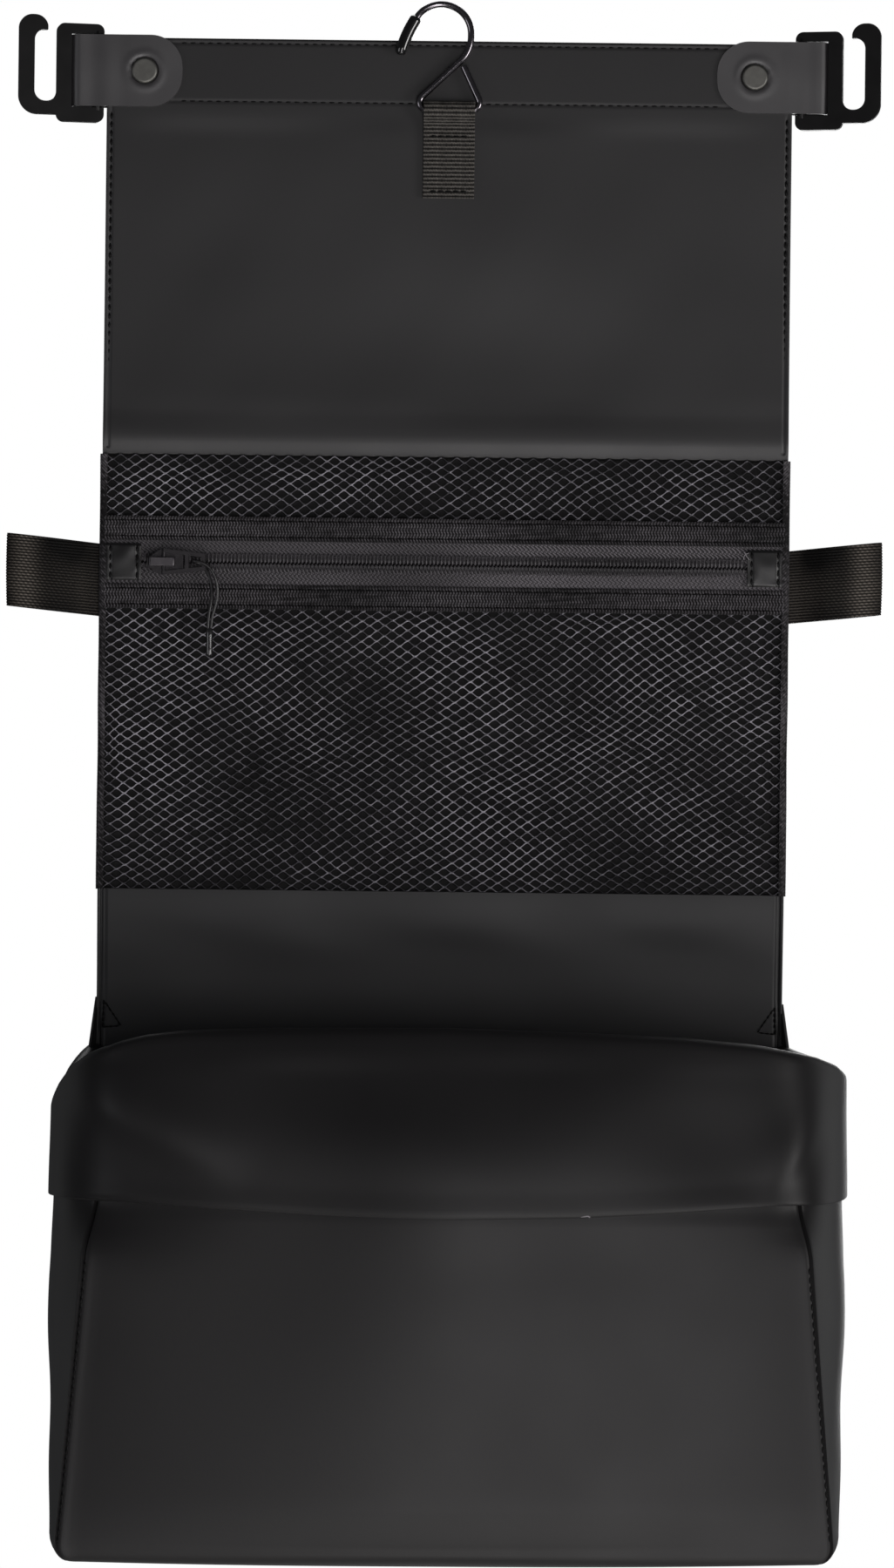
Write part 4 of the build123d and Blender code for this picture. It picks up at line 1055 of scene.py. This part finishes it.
# cuff: up inside the rim, over it, and down outside to its hem
START = 2.6
ring_line = outline(-352, 1.0, START)
count = len(ring_line)
rims = rim_height(ring_line[:, 0]) + 1.2
hem_x = np.abs(ring_line[:, 0])
hem = np.interp(hem_x, [0, 40, 73, 102, 112, 140], [-406.3, -405.6, -404.0, -401.9, -402.0, -403.4])
hem = hem + 0.3 * drift(ring_line[:, 0], ring_line[:, 1], 91, 60)
inner_rows, over_rows = 5, 7
down = np.concatenate([np.linspace(0, 0.95, 32), [0.97, 0.983, 0.992, 1.0]])
over = []
inside = wall_grid(-3.0, rims - 14, rims - 1.5, inner_rows, START)
outside = wall_grid(1.0, rims - 1.5, hem, down, START)
for a in np.linspace(0, 1, over_rows + 2)[1:-1]:
    mix = 0.5 - 0.5 * math.cos(math.pi * a)
    ring = inside[-1] * (1 - mix) + outside[0] * mix
    ring[:, 2] = rims - 1.5 + 2.0 * math.sin(math.pi * a)
    over.append(ring)
cuff_grid = np.concatenate([inside, np.array(over), outside])
cuff_grid = stand_out(round_off(cuff_grid, np.ones(cuff_grid.shape[:2]), 15.0))
x, y, z = cuff_grid[..., 0], cuff_grid[..., 1], cuff_grid[..., 2]
on_front = ramp(-y, 80, 104)
turned_down = np.zeros_like(x)
turned_down[inner_rows + over_rows:] = 1.0
cuff_grid[..., 1] -= folds_at(x, z) * on_front * turned_down * ramp(-z, 352, 362)
above_hem = z - hem[None, :]
hem_shape = 0.5 * (1 - ramp(above_hem, 0, 9)) - 0.5 * bell(above_hem, 0.8)
cuff_grid[..., 1] -= hem_shape * on_front * turned_down
cuff = piece("pouch_cuff_turned", cuff_grid, grid_faces(len(cuff_grid), count), bag_cloth)
wall = cuff.modifiers.new("wall", "SOLIDIFY")
wall.thickness = 1.5 * MM
wall.offset = 0
soft_edges(cuff, 0.6, 3)
settle(cuff, "pouch", "coated_fabric", "pouch_cuff")

# small pale mark on the hem's edge, and two loose thread ends at the right zip patch
hem_edge = cuff_grid[-1]
near_mark = int(np.argmin(np.abs(hem_edge[:, 0] - 47.0) + 1000 * (hem_edge[:, 1] > -80)))
mark = hem_edge[near_mark] + [0, -0.75, 0.25]
mark_line = [mark + [-1.4, 0, -0.15], mark, mark + [0.9, 0, 0.1], mark + [1.6, 0, -0.3]]
settle(tubes("hem_mark", mark_line, 0.3, pale_thread), "pouch", "coated_fabric")
ends = [
    [(104.6, -1.0, -185.9), (103.3, -1.3, -186.3), (102.7, -1.4, -187.6), (103.0, -1.2, -189.4)],
    [(104.8, -1.0, -188.2), (103.9, -1.4, -187.2), (103.1, -1.4, -185.6), (102.3, -1.2, -185.2)],
]
ends = [even(rounded(end, 3), 0.25)[:14] for end in ends]
settle(tubes("patch_loose_threads", ends, 0.12, pale_thread, sides=5), "mesh_panel", "patch_coated")

# ======== metal and plastic pieces that keep their CAD shape ========
def finish_node(name, made, width, segments=3, angle=35):
    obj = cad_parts[name]
    obj.data.materials.clear()
    obj.data.materials.append(made)
    if width:
        soft_edges(obj, width, segments, angle, weld=True)


for side in ("left", "right"):
    finish_node(f"{side}_g_hook", hook_metal, 0.75, 4)
    finish_node(f"{side}_rivet", rivet_metal, 0)
    finish_node(f"{side}_rivet_washer", rivet_metal, 0)
finish_node("zip_slider", slider_metal, 0.18)
finish_node("slider_crown", crown_metal, 0.15)
finish_node("zip_puller", slider_metal, 0.2)

# ======== floor, world, lights ========
world = bpy.data.worlds.new("studio")
scene.world = world
world.use_nodes = True
tree = world.node_tree
tree.nodes.clear()
seen = node(tree, "Background", {"Color": (1, 1, 1, 1), "Strength": 1.0})
lit = node(tree, "Background", {"Color": (0.93, 0.96, 1, 1), "Strength": 0.06})
choice = node(tree, "MixShader", {0: node(tree, "LightPath").outputs["Is Camera Ray"]})
tree.links.new(lit.outputs[0], choice.inputs[1])
tree.links.new(seen.outputs[0], choice.inputs[2])
tree.links.new(choice.outputs[0], node(tree, "OutputWorld").inputs[0])

floor_mat, tree, shader = material("floor_pale", 0.7)
paint(tree, shader, (0.80, 0.80, 0.79), (0.86, 0.86, 0.85), noise(tree, 3.0, 2.0))
shader.inputs["Emission Color"].default_value = (1, 0.99, 0.97, 1)
shader.inputs["Emission Strength"].default_value = 0.35
FLOOR_Z, FLOOR_RADIUS, FLOOR_SIDES = -1300, 700, 96
angles = np.arange(FLOOR_SIDES) * 2 * math.pi / FLOOR_SIDES
disc = [(FLOOR_RADIUS * math.cos(a), FLOOR_RADIUS * math.sin(a), FLOOR_Z) for a in angles]
floor = piece("floor_disc", disc, [list(range(FLOOR_SIDES))], floor_mat)


def area(name, place, target, size, power, tint=(1, 1, 1)):
    data = bpy.data.lights.new(name, "AREA")
    data.shape = "RECTANGLE"
    data.size, data.size_y = size
    data.energy = power
    data.color = tint
    lamp = bpy.data.objects.new(name, data)
    lamp.location = place
    towards = Vector(target) - Vector(place)
    lamp.rotation_euler = towards.to_track_quat("-Z", "Y").to_euler()
    scene.collection.objects.link(lamp)


area("strip", (0.17, -1.9, -0.8), (0, 0, -0.3), (0.3, 1.2), 10, (1, 0.975, 0.985))
area("right", (1.7, -1.3, -0.5), (0, 0, -0.25), (0.8, 0.8), 17, (1, 0.98, 0.97))
area("left", (-1.7, -1.2, -0.3), (0, 0, -0.25), (0.7, 0.8), 4, (0.96, 0.97, 1))
area("under", (0.25, -1.1, -1.25), (0, 0, -0.4), (0.9, 0.5), 4.5, (1, 0.975, 0.95))
area("behind_right", (1.4, 1.0, -0.3), (0, 0, -0.3), (0.6, 1.4), 2.0)
area("behind_left", (-1.4, 1.1, -0.3), (0, 0, -0.3), (0.6, 1.4), 0.5)
area("overhead", (0.1, 0.9, 1.0), (0, 0, -0.25), (1.2, 0.7), 9)
area("back", (0.3, 2.1, -0.1), (0, 0, -0.25), (0.9, 1.3), 19)
scene.view_settings.view_transform = "Standard"
